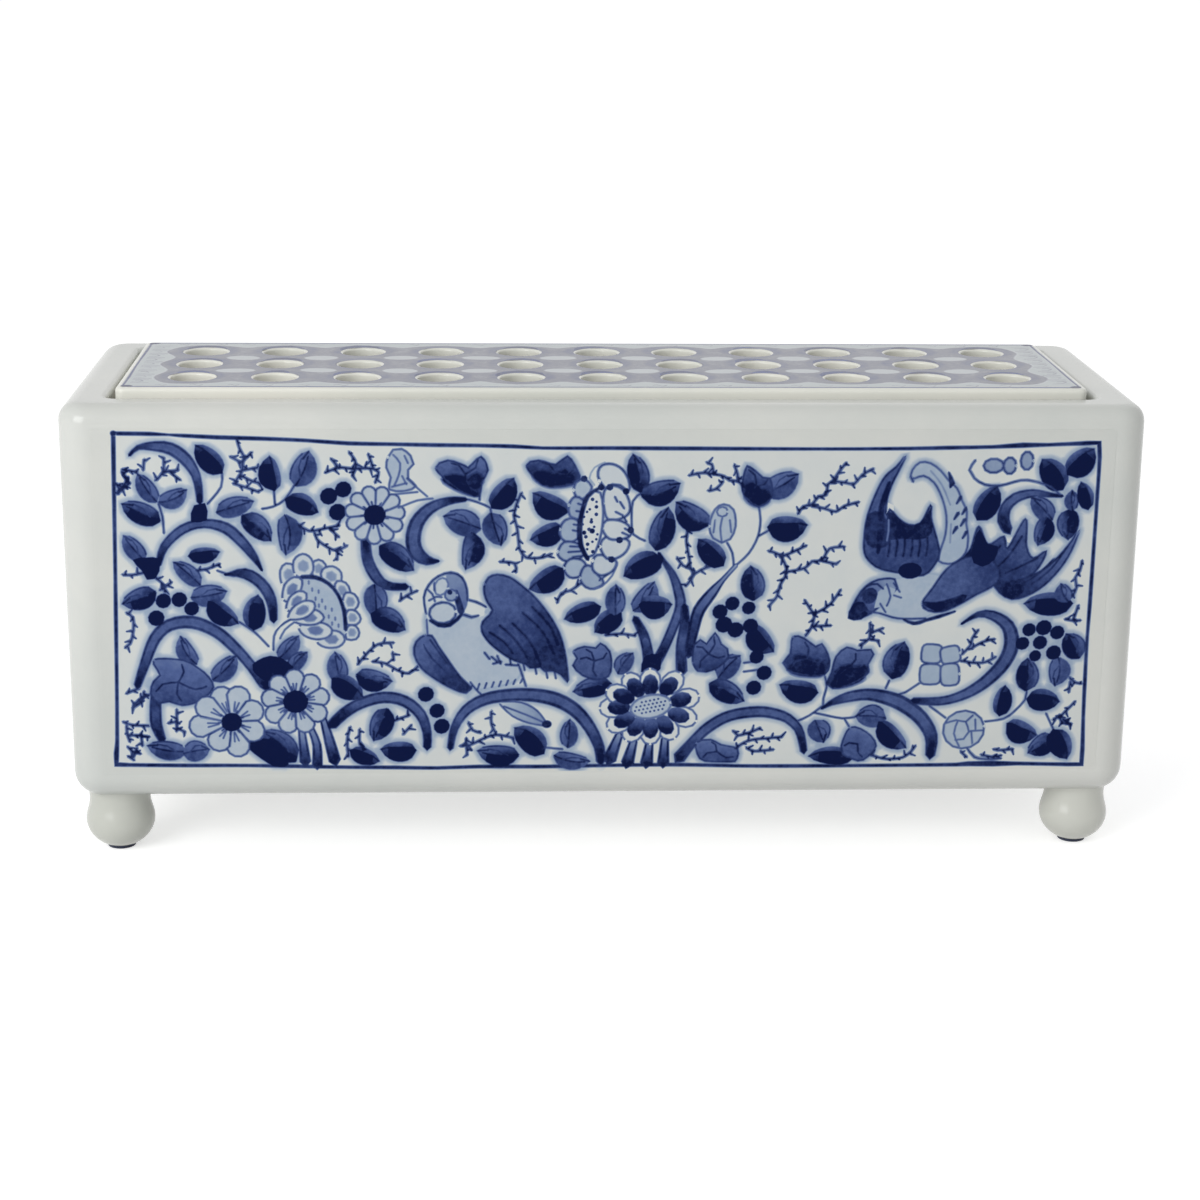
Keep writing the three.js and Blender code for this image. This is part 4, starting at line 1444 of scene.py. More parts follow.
def paintBlossoms(marks):
    tips = [
        (-91.5, 28.5), (-86, 28.6), (-81.2, 23.8), (-81, 16.5), (-86.5, 11.2), (-93, 13), (-98.5, 18.5),
        (-96.5, 25)
    ]
    daisy(marks, -88.5, 19.8, 2.3, tips, 5.6)
    daisy(marks, -73.3, 24.8, 2.8, evenTips(-73.3, 24.8, 8.1, 9, 0.2), 4.6)
    daisy(marks, -54, 70.3, 2.4, evenTips(-54, 70.3, 7, 11, 0.1), 3.3)
    # chrysanthemum: looped petals over a wide dotted heart, the nearer ones lower left
    begin()
    for points in (
        [(-75.8, 53.6), (-76.2, 57), (-74.8, 58.7), (-72.8, 58), (-72.2, 55.6), (-73.6, 53.6)],
        [(-68.4, 55.4), (-68.9, 58.4), (-67.2, 59.6), (-65.6, 58.4), (-65.8, 55.6)],
        [(-72.8, 56), (-73, 59.4), (-70.9, 61), (-68.9, 59.8), (-68.5, 57), (-70.2, 55.2)],
        [(-66.6, 55), (-66.4, 57.2), (-64, 58), (-62, 56.4), (-62.4, 53.6), (-64.6, 53.2)],
        [(-63.6, 52.6), (-63, 54.4), (-61, 54), (-60, 52), (-60.8, 49.8), (-62.4, 50)],
        [(-61.8, 49.4), (-61, 51.6), (-59, 51.2), (-58, 49.2), (-59, 47.4), (-61, 47.2)],
        [(-61.2, 45.8), (-60.4, 47.4), (-58.6, 47), (-57.6, 45.2), (-58.6, 43.8), (-60.8, 43.8)],
        [(-61.2, 42), (-60.4, 43.6), (-58.8, 43.4), (-58, 41.8), (-58.8, 40.2), (-61, 40.2)],
    ):
        petal(marks, points, 0.1, 0.36)
    heart = [
        (-71, 54.6), (-69, 55.6), (-66.2, 54.6), (-63.8, 52.4), (-62.2, 49), (-61.2, 45), (-61.4, 41.6),
        (-64, 42), (-66.4, 44.4), (-69, 47.4), (-71, 50.4)
    ]
    patch(marks, heart, 0.17)
    for row in range(7):
        for column in range(5):
            x, z = -69.6 + 1.5 * column + 0.75 * (row % 2), 54 - 1.7 * row - 0.5 * column
            if x + 0.62 * z > -37.6 and x + 0.75 * z < -28.4:
                brushLine(marks, [(x, z + 0.4), (x, z - 0.3)], 0.6, 0.42)
    brushLine(
        marks,
        [
            (-71.2, 55.4, 1), (-68, 55.3, 1), (-65, 53.8, 0.9), (-62.8, 51, 0.8), (-61.5, 47, 0.9),
            (-61.2, 42.6, 0.9)
        ],
        0.95
    )
    for points in (
        [(-75.8, 50), (-75.2, 53.6), (-73, 55.4), (-71.1, 54.6), (-71.8, 51.6), (-74, 49.6)],
        [(-75, 47.4), (-74.2, 50.4), (-72, 52), (-70.2, 51.4), (-70.6, 49.2), (-72.8, 47.2)],
        [(-68, 39.8), (-65.4, 42.2), (-62.6, 42), (-61.4, 40.2), (-62.8, 38.4), (-66, 38.2)],
        [
            (-72.2, 43.2), (-70.4, 44.2), (-66.4, 44.2), (-64.4, 42.6), (-65.2, 40.8), (-68.2, 40.2),
            (-71, 41.2)
        ],
        [(-73.2, 44.8), (-70.4, 46.6), (-68, 47.4), (-66.2, 45.6), (-67.8, 44), (-71, 43.8)],
        [(-74.5, 45.2), (-73.6, 47.8), (-70.8, 49.6), (-68.4, 49.2), (-68.6, 47.2), (-70.8, 45.4)],
    ):
        petal(marks, points, 0.1, 0.5)
    brushLine(marks, [(-74.2, 45), (-76.6, 43.4), (-78, 41), (-78.2, 37.6)], 0.8, 0.5)
    brushLine(marks, [(-73.2, 44.4), (-75.4, 42.6), (-76.6, 40.4)], 0.7, 0.42)
    # the low flower in the middle: dark petals, each inside a pale scallop
    begin()
    dark = [
        (7.2, 28.3), (10.8, 29), (15.4, 28.6), (18.4, 25), (18, 20.8), (14.6, 18.2), (11, 17.4),
        (7.4, 17.8), (4.4, 19.6), (3, 23), (4.2, 26)
    ]
    heartX, heartZ = 11, 23.3
    turns = [math.degrees(math.atan2(z - heartZ, x - heartX)) for x, z in dark]
    for (x, z), turn in zip(dark, turns):
        outer = (heartX + (x - heartX) * 1.14, heartZ + (z - heartZ) * 1.1)
        outlined(marks, ellipse(*outer, 3.2, 2.5, turn, 11), 0.02, 0.66, 0.42)
    for (x, z), turn in zip(dark, turns):
        inner = (heartX + (x - heartX) * 0.95, heartZ + (z - heartZ) * 0.92)
        patch(marks, ellipse(*inner, 2.6, 1.75, turn, 10), (0.7, 1.0, (x, z + 1.5), (x, z)))
    dottedOval(marks, 11, 23.2, 4.9, 2.9, 12, 1.0, 0.6, 0.14)
    # peony: pale petals left of a long dotted heart, white ones stacked on its right
    begin()
    for points, fill in (
        ([(-7.8, 76.2), (-7, 78.4), (-5, 78.6), (-3.6, 77), (-4.6, 74.8), (-6.6, 74)], 0.13),
        ([(-8.9, 72.6), (-7.6, 74.6), (-5.6, 73.8), (-5.4, 71), (-6.4, 69.2), (-8.6, 70)], 0.24),
        ([(-11, 66.8), (-9.8, 69), (-7.6, 69.4), (-6, 67.6), (-6.4, 65), (-8.6, 63.6), (-10.6, 64.6)], 0.19),
        ([(-11.4, 61.4), (-10, 63.7), (-7, 63.5), (-5.2, 61.4), (-6.6, 59.5), (-9.2, 59), (-11, 60)], 0.2),
        ([(-10, 57.4), (-8.6, 59.6), (-5.8, 59.4), (-4.6, 57.4), (-6.2, 55.4), (-8.6, 55.2)], 0.14),
        ([(-6.2, 55), (-5.2, 57.8), (-3.4, 57.8), (-2, 55.8), (-0.6, 53.8), (-2.6, 52.4), (-4.8, 52.8)], 0.2),
        (
            [
                (-1.8, 78.4), (-2.2, 80.6), (-1.2, 82.2), (1.2, 82.4), (3.4, 81.2), (4.9, 78.8),
                (5.1, 76.2), (3, 76.4), (0.4, 76)
            ],
            0.05
        ),
        (
            [
                (-0.9, 73), (-0.6, 76.2), (1.2, 77.3), (3.6, 76.4), (5.1, 73.8), (5.3, 71), (3.4, 69.4),
                (0.2, 69.2)
            ],
            0.05
        ),
        ([(-3.2, 59.2), (-2.2, 60.6), (0.6, 60.2), (2.4, 58.8), (1.4, 56.6), (-1.2, 55.6), (-3.2, 57)], 0.07),
        ([(-1.5, 62.6), (-0.4, 64.8), (3, 65), (5.3, 63.8), (4.6, 61.4), (2.4, 59.8), (0, 59.8)], 0.06),
        ([(-1.1, 67), (-0.2, 68.9), (2.6, 69), (5, 67.8), (5.7, 65.6), (4, 64.5), (0.6, 64.5)], 0.05),
    ):
        petal(marks, points, fill + 0.04, None, 0.84, 0.62)
    brushLines(marks, [
        [(-6.3, 62.6), (-8.6, 62.7)], [(-6.1, 61.5), (-9, 61.3)], [(-5.8, 60.4), (-8, 60.1)],
        [(-6.4, 66.2), (-8, 66.6)], [(-6.2, 67.6), (-7.8, 68)],
        [(-5.6, 72.6), (-6.8, 73)], [(-5.9, 71), (-7.2, 71.2)],
        [(-0.2, 76.8), (1.2, 77.6), (3, 77.4), (4.8, 76)], [(1.8, 74.6), (2.4, 73.4)],
        [(3, 73.4), (4, 71.8)],
        [(2, 71), (3.6, 70.2), (4.6, 68.6)], [(4.2, 67), (5.6, 66.2)], [(3.6, 66), (5.4, 65.2)],
        [(2.6, 64.6), (3.2, 63.8)], [(0.6, 60), (1.4, 59.2)], [(-1.6, 54.4), (0.4, 56)],
        [(-0.8, 72.4), (-0.9, 70.4)],
    ], 0.84, 0.5)
    for x, z in ((-1.4, 76.9), (0.6, 76.9), (4.4, 75.9), (3, 64.2), (1.2, 59.5), (-5.4, 78.9), (5.6, 66.6)):
        dot(marks, x, z, 0.7, 0.95, 7)
    heart = [
        (-3.4, 76.2), (-1.6, 75.6), (-0.9, 72), (-1, 68), (-1.6, 64.4), (-3, 60.6), (-4.6, 60), (-5.8, 63),
        (-6.3, 67), (-5.8, 71.5), (-4.6, 75)
    ]
    outlined(marks, heart, 0.05, 0.8, 0.55)
    brushLine(
        marks,
        [
            (-2, 76.6, 0.7), (-4.5, 74.8, 1), (-5.9, 70.6, 1.1), (-6.4, 66.5, 1.3), (-5.9, 62.5, 1.1),
            (-4.4, 59.6, 1)
        ],
        0.96
    )
    for k in range(22):
        x, z = -3.4 + 1.5 * math.sin(2.4 * k), 74 - 0.6 * k
        dot(marks, x - 0.09 * k * (k < 12), z, 0.22 + 0.14 * (k % 3 == 0), 0.85, 6, 0.2)
    dot(marks, -3.4, 66.4, 0.5, 0.97, 8)
    dot(marks, -5.3, 66, 0.4, 0.97, 7)
    brushLine(marks, [(-3, 77.4), (-4.2, 79), (-3, 81.6), (-0.6, 82.8)], 0.3, 0.4)
    brushLine(marks, [(2.6, 58.6), (1.4, 55.6), (-1, 53), (-3, 52.3)], 0.66, 0.42)


def bud(marks, points, inner=()):
    outlined(marks, points, 0.16, 0.74, 0.5)
    for line in inner:
        brushLine(marks, line, 0.68, 0.42)


def paintBuds(marks):
    begin()
    bud(
        marks,
        [
            (-50.8, 84), (-49.6, 85.8), (-47.6, 86), (-45.6, 84.4), (-44.9, 82.4), (-46.2, 81), (-46.2, 79),
            (-44.4, 77.2), (-47, 76), (-50.6, 76.4), (-50.2, 79.2), (-51.2, 81.6)
        ],
        [
            [(-49.6, 84.6), (-48, 82.6), (-48.4, 79.6), (-49.4, 77.4)], [(-47, 84.4), (-46.2, 82.6)],
            [(-47.6, 79.6), (-46.6, 77.6)]
        ]
    )
    brushLines(
        marks,
        [
            [(-46.5, 79), (-43.3, 76), (-41.8, 74.7)], [(-50, 77), (-46.5, 77.9)],
            [(-49.5, 75.2), (-44, 75.8)], [(-48.5, 72), (-44, 73.8), (-40.5, 74.2)]
        ],
        0.7, 0.45
    )
    begin()
    bud(
        marks,
        [
            (24, 67.5), (25.2, 71.5), (27.3, 72.8), (29.6, 71.5), (30.2, 67.5), (29, 64.4), (27, 63.5),
            (25, 64.6)
        ],
        [[(27, 63.8), (26.6, 67), (27, 69.4)], [(25, 66), (25.4, 69)], [(29.2, 66), (28.8, 69)]]
    )
    ringLine(marks, ellipse(27, 71, 1.3, 1.2, 0, 8), 0.7, 0.38)
    begin()
    for x, z, across, up, turn in (
        (77.9, 36.1, 2.5, 2.4, -4), (82.4, 35.8, 2.4, 2.2, 12), (77.8, 31, 2.6, 2.6, 0),
        (82.5, 30.9, 2.3, 2.8, 4)
    ):
        outlined(marks, squarish(x, z, across, up, turn), 0.19, 0.78, 0.5, 1.2)
    begin()
    bud(marks, ellipse(86.5, 17, 5, 4.8, 10, 14), [
        [(82, 18.6), (84.6, 19.4), (87, 19), (88.6, 20.6)], [(85, 19.2), (84.2, 16), (85.6, 12.8)],
        [(87, 18.8), (87.8, 16.4), (86.6, 14.6), (84.6, 14.4)],
        [(87.8, 16.6), (91, 16.8)], [(88.4, 16.4), (88.8, 13.4)], [(89.2, 19.6), (89.4, 17)],
    ])
    brushLine(marks, [(87.5, 12.4, 0.6), (89.5, 10, 0.9), (92.5, 9.4, 0.9), (96, 9.6, 0.5)], 0.85)
    begin()
    for x, z, across, up in ((90.4, 82, 2.4, 1.7), (94.2, 82, 1.5, 2), (98.2, 83.2, 1.5, 2.2)):
        outlined(marks, ellipse(x, z, across, up, 0, 10), 0.32, 0.85, 0.6)
    brushLine(
        marks,
        [
            (86, 83.3), (84.7, 81), (86, 79), (88.5, 77.5), (92, 77.2), (97, 78.5), (100, 78.3), (104, 77),
            (106.5, 75)
        ],
        0.85, 0.7
    )


def paintPerchedBird(marks):
    # body and breast first, then the folded wings and the head
    begin()
    patch(
        marks,
        [
            (-42, 46), (-38, 49), (-32, 48.5), (-28, 46), (-25, 42), (-21.6, 38), (-20, 34), (-21, 30.6),
            (-25, 28.8), (-31, 28), (-35, 29.5), (-39, 34), (-41.5, 40)
        ],
        0.15, bleeds=True
    )
    patch(
        marks,
        [(-25, 24), (-22, 21), (-18, 19.2), (-13.4, 18.4), (-14.5, 20.4), (-17.4, 23.4), (-20, 24.6)],
        (0.14, 0.4, (-24, 22), (-13.8, 20))
    )
    brushLines(
        marks,
        [
            [(-25, 24), (-22, 21), (-18, 19.2), (-13.4, 18.4)], [(-24, 23.4), (-19, 21.4), (-14.6, 19.4)],
            [(-24.5, 24.6), (-20, 24.4), (-16, 22.2), (-13.6, 18.6)]
        ],
        0.75, 0.42
    )
    patch(marks, ellipse(-13.8, 18.9, 1, 0.8), 0.97)
    tail = [
        (-42.5, 41.2), (-44.7, 39.5), (-45.2, 36.5), (-43.5, 33), (-39.8, 30), (-36, 27.8), (-33, 26.8),
        (-31.8, 28), (-34.5, 31), (-37.5, 35.4), (-39.6, 38.6), (-41, 41)
    ]
    outlined(marks, tail, (0.66, 0.98, (-42.4, 38), (-33, 27.6)), 0.92, 0.55, bleeds=True)
    brushLines(
        marks, [[(-43, 38.8), (-41, 35.4), (-36.5, 31)], [(-41.4, 40), (-39, 36.4), (-35.4, 31.6)]], 0.88,
        0.42
    )
    wing = [
        (-28.6, 53.6), (-27.6, 55.2), (-25.6, 55.9), (-22.6, 55.2), (-19.6, 53), (-16.6, 50.2), (-13.4, 46),
        (-11, 41.6), (-9.6, 36.6), (-8.9, 31.4), (-8.9, 29.4), (-10.4, 31.2), (-12.4, 32.2), (-14.4, 32.2),
        (-15.4, 33.2), (-17.8, 33), (-19, 34), (-21.5, 34.8), (-24.4, 36.6), (-27.4, 39.2), (-29.2, 42),
        (-29, 44.4), (-27.4, 46), (-26.7, 47.2), (-27.8, 49), (-28.6, 51.2)
    ]
    outlined(marks, wing, (0.68, 0.92, (-26, 52), (-13, 35)), 0.94, 0.55, 1.3, True)
    brushLines(
        marks,
        [
            [(-19.6, 46.6), (-15, 42), (-12.2, 36.5)], [(-22, 44), (-18, 39.5), (-15.4, 34)],
            [(-17.4, 48), (-13.4, 43.5), (-11.2, 38.6)], [(-25, 43.5), (-21, 39.5), (-18.6, 35.6)],
            [(-27.4, 41.8), (-24, 39.4), (-22, 36.6)]
        ],
        1.0, 0.7
    )
    for x, z in ((-12, 31.9), (-14, 32), (-16.6, 33), (-19.4, 34), (-22.6, 35.2)):
        brushLine(marks, [(x, z), (x + 0.3, z - 1.6)], 0.9, 0.5)
    brushLines(
        marks,
        [
            [(-28.6, 36.8), (-27.4, 35.2)], [(-27, 35.8), (-25.6, 34.6)], [(-26.6, 34), (-24.6, 34.6)],
            [(-23.6, 33.8), (-20.8, 33.6)], [(-25.6, 36), (-24.8, 34)]
        ],
        0.9, 0.62
    )
    brushLine(marks, [(-20.6, 34), (-19.6, 31), (-18.8, 28.4)], 0.86, 0.62)
    for k in range(8):
        x = -32 + 1.7 * k
        brushLine(marks, [(x, 27.4 + 0.25 * k), (x + 0.5, 28.9 + 0.2 * k)], 0.85, 0.42)
    brushLine(marks, [(-32, 29.5), (-30.5, 27.5), (-29, 26)], 0.86, 0.5)
    brushLine(marks, [(-42.2, 45), (-42, 41.6)], 0.8, 0.42)
    patch(
        marks, [(-33.2, 49.4), (-30.8, 48.8), (-28.6, 47.8), (-28.8, 46), (-31.6, 45.6), (-33.4, 46.6)],
        0.06
    )
    brushLine(marks, [(-33, 49.9, 0.6), (-30.4, 49.2, 0.7), (-28.2, 48, 0.5)], 0.9)
    brushLine(marks, [(-33.6, 46.2, 0.9), (-31.6, 45.5, 0.9), (-30, 45.9, 0.5)], 0.95)
    head = [
        (-42.4, 47), (-42.8, 50.4), (-41.6, 53.4), (-39.4, 55.5), (-36.4, 56.5), (-33.8, 55.4),
        (-32.6, 52.4), (-32.6, 48.6), (-34.2, 45.8), (-38, 44.4), (-41.2, 44.8)
    ]
    patch(marks, head, 0.09)
    patch(
        marks,
        [
            (-37.4, 55.6), (-35.8, 56.2), (-33.8, 55), (-32.8, 52), (-32.9, 48.2), (-34.4, 46.4),
            (-35.2, 49), (-36, 51.8), (-37.2, 53.6)
        ],
        (0.38, 0.6, (-36, 55), (-33.4, 49)), 1.4
    )
    brushLine(marks, [(-35.2, 52, 0.6), (-34.8, 49.6, 1.5), (-34, 46.8, 1.5)], 0.92)
    brushLine(
        marks,
        [
            (-42.3, 46.4, 0.5), (-42.8, 50.4, 0.5), (-41.6, 53.4, 0.7), (-39.4, 55.5, 0.6),
            (-36.4, 56.4, 0.8), (-33.9, 55.3, 0.6), (-32.7, 52.4, 0.6), (-32.6, 49.6, 0.5)
        ],
        0.92
    )
    petal(marks, ellipse(-38.7, 53, 1.6, 2.2, -20, 10), 0.12, None, 0.6, 0.4)
    petal(marks, ellipse(-36.4, 50.9, 1.5, 1.4, 0, 9), 0.3, None, 0.75, 0.4)
    dot(marks, -36.7, 51.6, 0.5, 0.95, 8)
    brushLines(
        marks,
        [
            [(-42, 52.4), (-40.8, 51.2), (-40.2, 49.4)], [(-41.6, 49.6), (-39.8, 50.6), (-38.6, 50.4)],
            [(-40.4, 54), (-40.2, 52)]
        ],
        0.78, 0.46
    )
    outlined(marks, ellipse(-38.4, 46.6, 3.2, 2.6, 6, 12), 0.13, 0.88, 0.6)
    brushLine(
        marks, [(-41.4, 44.7, 0.6), (-39.4, 43.6, 1), (-36.8, 43.6, 1), (-35, 45, 0.9), (-34, 46.2, 0.8)],
        0.96
    )


def paintFlyingBird(marks):
    begin()
    wing = [
        (69.6, 84.4), (67.5, 81.8), (65, 79.5), (63, 75.5), (61.2, 70), (60.6, 65), (60.8, 61),
        (62.5, 58.5), (65, 57), (69, 56.2), (75, 55.5), (77.8, 58.5), (78.6, 61), (77.6, 65), (76.2, 69.5),
        (76, 72.6), (73.8, 68.2), (71, 67.8), (68.4, 69.4), (66.4, 71.6), (65.6, 70), (65.6, 74),
        (66.8, 78), (68.2, 81)
    ]
    body = [
        (75, 48.6), (77.4, 52.4), (80.5, 57), (84.6, 59.8), (88.4, 60.4), (92, 58.4), (93.4, 55),
        (91.4, 52.6), (88, 50.8), (84, 48.4), (80, 46.6), (76.6, 46.8)
    ]
    tailFeathers = [
        (84.4, 59), (86, 62), (87.6, 67.4), (90, 63), (93.7, 65), (94.7, 62), (98.6, 69.2), (99.2, 62.6),
        (101, 59.6), (104, 61.4), (102.5, 57.5), (100, 55), (96, 53.5), (92, 54), (88, 56)
    ]
    breast = [
        (62, 53.5), (64.5, 54.3), (68, 54.3), (75, 55.5), (79, 55), (80.4, 52), (79, 48), (76, 45.6),
        (71, 44.8), (67, 45.6), (64, 47), (61.6, 49.6)
    ]
    crescent = [
        (111.6, 66.6), (110, 61.5), (107.5, 57), (104, 53), (100, 50.4), (96.4, 49.6), (93.4, 51.2),
        (92, 53.8), (97, 54), (103, 56.5), (107, 60), (110, 64)
    ]
    loop = [
        (71, 79), (71.3, 81), (73, 82.8), (75.5, 82.6), (78, 80.8), (80, 78.4), (82, 76.6), (83.4, 73.5),
        (84.6, 71), (84.6, 68), (85.2, 65), (84.8, 61), (82, 58.4), (78.5, 59), (78.9, 62), (79.8, 65.5),
        (79.8, 70), (78.5, 74.5), (76.5, 78), (74, 79.6), (72, 79)
    ]
    patch(marks, breast, 0.16, bleeds=True)
    outlined(marks, loop, 0.18, 0.78, 0.5, 1.3, True)
    brushLine(marks, [(79.9, 80.4, 0.4), (80.8, 77.8, 1.4), (80.4, 76.8, 0.4)], 0.95)
    for x, z in ((83, 73.8), (84.4, 71.2), (84.2, 68.4), (84.8, 65.4), (82.6, 70), (82.4, 66.6)):
        brushLine(marks, [(x - 0.9, z - 0.9, 0.4), (x, z + 0.6, 0.95)], 0.9)
    brushLine(marks, [(71, 79.4), (71.6, 78.2)], 0.9, 0.7)
    brushLines(marks, [[(75.6, 80.8), (78.4, 77.4), (80.6, 72.6)], [(81, 68), (81, 63.4)]], 0.4, 0.4)
    outlined(marks, tailFeathers, (0.72, 0.92, (98, 66), (88, 57)), 0.93, 0.5, 1.2, True)
    brushLines(
        marks,
        [
            [(87.4, 64), (87, 60)], [(93, 62.6), (90, 58.6)], [(98, 65), (95, 60), (92.6, 57.6)],
            [(102, 59.6), (98, 57.6), (94.6, 56)]
        ],
        0.98, 0.55
    )
    outlined(marks, crescent, (0.62, 0.96, (108, 60), (97, 51)), 0.92, 0.5, bleeds=True)
    brushLines(
        marks, [[(109, 62.4), (105.4, 57), (101, 53.2)], [(106, 59.6), (102, 55.4), (98.6, 53.4)]], 0.92,
        0.4
    )
    outlined(marks, body, (0.68, 0.8, (80, 56), (90, 54)), 0.93, 0.55, bleeds=True)
    brushLine(marks, [(75.6, 48.6, 1), (78.4, 47.8, 2.2), (82, 48.6, 2.4), (85, 50.2, 1.4)], 0.98)
    patch(
        marks,
        [
            (86.4, 60.6), (87, 63.6), (87.8, 66.4), (89.6, 63), (92.2, 62.4), (91.6, 59.4), (89, 57.8),
            (87, 58.6)
        ],
        1.1
    )
    patch(marks, ellipse(96.6, 51.8, 2.6, 1.3, 10), 0.98)
    patch(marks, wing, (0.7, 0.8, (62, 76), (72, 58)), 1.2, bleeds=True)
    patch(
        marks,
        [
            (66.2, 70.8), (68.4, 69), (71, 67.4), (73.8, 68), (75.8, 71), (76.4, 66), (74, 64.4),
            (70, 64.6), (66, 64.8)
        ],
        0.96, 1.3
    )
    patch(
        marks,
        [
            (61.3, 70.2), (60.9, 66), (61.6, 63), (64.4, 62.2), (66.6, 63.6), (66, 67), (64.8, 70.4),
            (63, 71)
        ],
        0.93
    )
    ringLine(marks, wing, 0.94, 0.5, 1.2)
    brushLine(marks, [(64, 61, 0.8), (64.4, 66, 1.6), (64.4, 72, 1.4), (66, 78, 0.8)], 0.98)
    for x in (66.4, 68.2, 70, 71.8, 73.6, 75.4):
        brushLine(marks, [(x, 65.6), (x + 0.3, 63), (x, 60.2)], 0.98, 0.6)
    brushLine(marks, [(66.2, 69), (66.3, 66.4), (66, 64)], 0.5, 0.4)
    patch(marks, ellipse(71.8, 56.6, 2.6, 1.8), 1.12)
    head = [
        (58.2, 46.2), (59.4, 50), (61.4, 52.8), (64.2, 54.4), (68.2, 54.6), (69, 52.4), (66.4, 50),
        (64.4, 47.4), (61.4, 45.4)
    ]
    outlined(marks, head, (0.9, 0.35, (60, 47), (67, 53)), 0.9, 0.5, bleeds=True)
    patch(marks, [(57.6, 45), (58.6, 48.2), (61, 48.8), (62.2, 46.8), (60.6, 44.8)], 1.0)
    patch(
        marks,
        [(64.6, 51.4), (66.2, 52.8), (68.4, 52), (67.6, 49.8), (65.6, 48), (63.8, 47.6), (64.2, 49.6)], 0.2
    )
    patch(marks, ellipse(62.5, 50.5, 1.6, 1.9, -25, 11), 0.92)
    brushLine(marks, [(60.4, 50.4), (61.6, 52.8), (64.2, 53.4), (65.6, 52.2)], 0.9, 0.5)
    brushLines(
        marks,
        [
            [(66.4, 53.4), (67.4, 50.4), (66.6, 48)], [(68, 53.6), (69.6, 51.4)],
            [(65, 48.6), (66.4, 46.4)], [(68.2, 50.6), (70, 50)]
        ],
        0.8, 0.42
    )
    brushLine(marks, [(62, 46.6), (65, 46.2), (68, 45.2), (71, 44.8), (76, 44.9)], 0.85, 0.5)
    brushLine(
        marks, [(70.8, 44.6, 0.4), (73.4, 43.6, 1), (76, 44.4, 0.8), (79.4, 45.4, 0.9), (83, 46.6, 0.4)],
        0.92
    )


def panelMarks():
    chance = random.Random(brush["seed"])
    marks = []
    for line in thinStems:
        begin()
        brushLine(marks, line, 0.85, 0.55)
    for line in archRibbons:
        archRibbon(marks, line)
    for line in solidStrokes:
        begin()
        brushLine(marks, [(x, z, width + 0.35) for x, z, width in line], 0.95)
        brushLine(
            marks, [(x, z, max(0.6, width * 0.62)) for x, z, width in line],
            (0.34, 1.0, line[0][:2], line[-1][:2])
        )
    for row in leaves:
        leaf(marks, chance, *row)
    for points, light, dark in lobedLeaves:
        lobedLeaf(marks, points, 0.42 + 0.4 * light, 0.3 + 0.7 * dark)
    for points in knots:
        begin()
        patch(marks, points, 1.12, bleeds=True)
    for line in twigs:
        thornyTwig(marks, chance, line)
    for x, z, radius in berries:
        berry(marks, x, z, radius)
    paintBlossoms(marks)
    paintBuds(marks)
    paintPerchedBird(marks)
    paintFlyingBird(marks)
    return marks


def moved(marks, change):
    # the same marks elsewhere; change takes and returns rows of places
    copies = []
    for mark in marks:
        tone = mark["tone"]
        if isinstance(tone, tuple):
            ends = change(np.array([tone[2], tone[3]], float))
            tone = (tone[0], tone[1], ends[0], ends[1])
        copies.append({**mark, "core": change(mark["core"]), "outer": change(mark["outer"]), "tone": tone})
    return copies


def framedBy(border):
    begin()
    marks = []
    brushLine(marks, border, 0.92, None, 6)
    patch(marks, ellipse(border[0][0], border[0][1], 0.55, 0.5), 0.95)  # where the stroke starts and ends
    return marks


def motifsWithin(marks, low, high):
    # whole motifs only, so that no flower or bird is cut at the edge of a panel
    reach = {}
    for mark in marks:
        least, most = reach.get(mark["motif"], (1e9, -1e9))
        reach[mark["motif"]] = (min(least, mark["outer"][:, 0].min()), max(most, mark["outer"][:, 0].max()))
    return [m for m in marks if reach[m["motif"]][0] > low and reach[m["motif"]][1] < high]


cobaltPaint = paintFinish("cobaltPaint", paintLook)
underside = trough["underside"]
halfDeep, halfLong = trough["depth"] / 2, trough["length"] / 2
frontMarks = panelMarks()
panel = {"half": 119, "low": 7, "high": 90.6}


def boxEdge(half):
    return [(-half, panel["low"]), (half, panel["low"]), (half, panel["high"]), (-half, panel["high"])]


def paintedPanel(name, half, border, marks, place):
    within = [point[:2] for point in border]
    return paintedSkin(name, boxEdge(half), framedBy(border) + marks, within, place, cobaltPaint)


def onFront(x, z, deep):
    return x, -halfDeep + deep, z + underside


def onBack(x, z, deep):
    return -x, halfDeep - deep, z + underside


def onLeftEnd(x, z, deep):
    return -halfLong + deep, -x, z + underside


def onRightEnd(x, z, deep):
    return halfLong - deep, x, z + underside


frontSkin = paintedPanel("painted_front", panel["half"], borderLine, frontMarks, onFront)


def boxLine(left, right, low, high, width):
    # close points by the corners keep them crisp; the line swells and wavers as a brush does
    line = []
    stops = [0, 0.02, 0.2, 0.4, 0.6, 0.8, 0.98]
    corners = [(left, low), (right, low), (right, high), (left, high), (left, low)]
    for (x0, z0), (x1, z1) in zip(corners, corners[1:]):
        for share in stops:
            x, z = x0 + (x1 - x0) * share, z0 + (z1 - z0) * share
            waver = 0.14 * math.sin(0.21 * x + 0.33 * z) if 0.1 < share < 0.9 else 0
            line.append((x + waver, z + waver, width * (1 + 0.22 * math.sin(0.3 * x + 0.17 * z))))
    line.append((left, low, width))
    return line


# the back carries the same growth the other way round, and each end a narrower piece of it
backBorder = [(-x, z, width) for x, z, width in borderLine]
backMarks = moved(frontMarks, lambda p: p * [-1, 1])
backSkin = paintedPanel("painted_back", panel["half"], backBorder, backMarks, onBack)

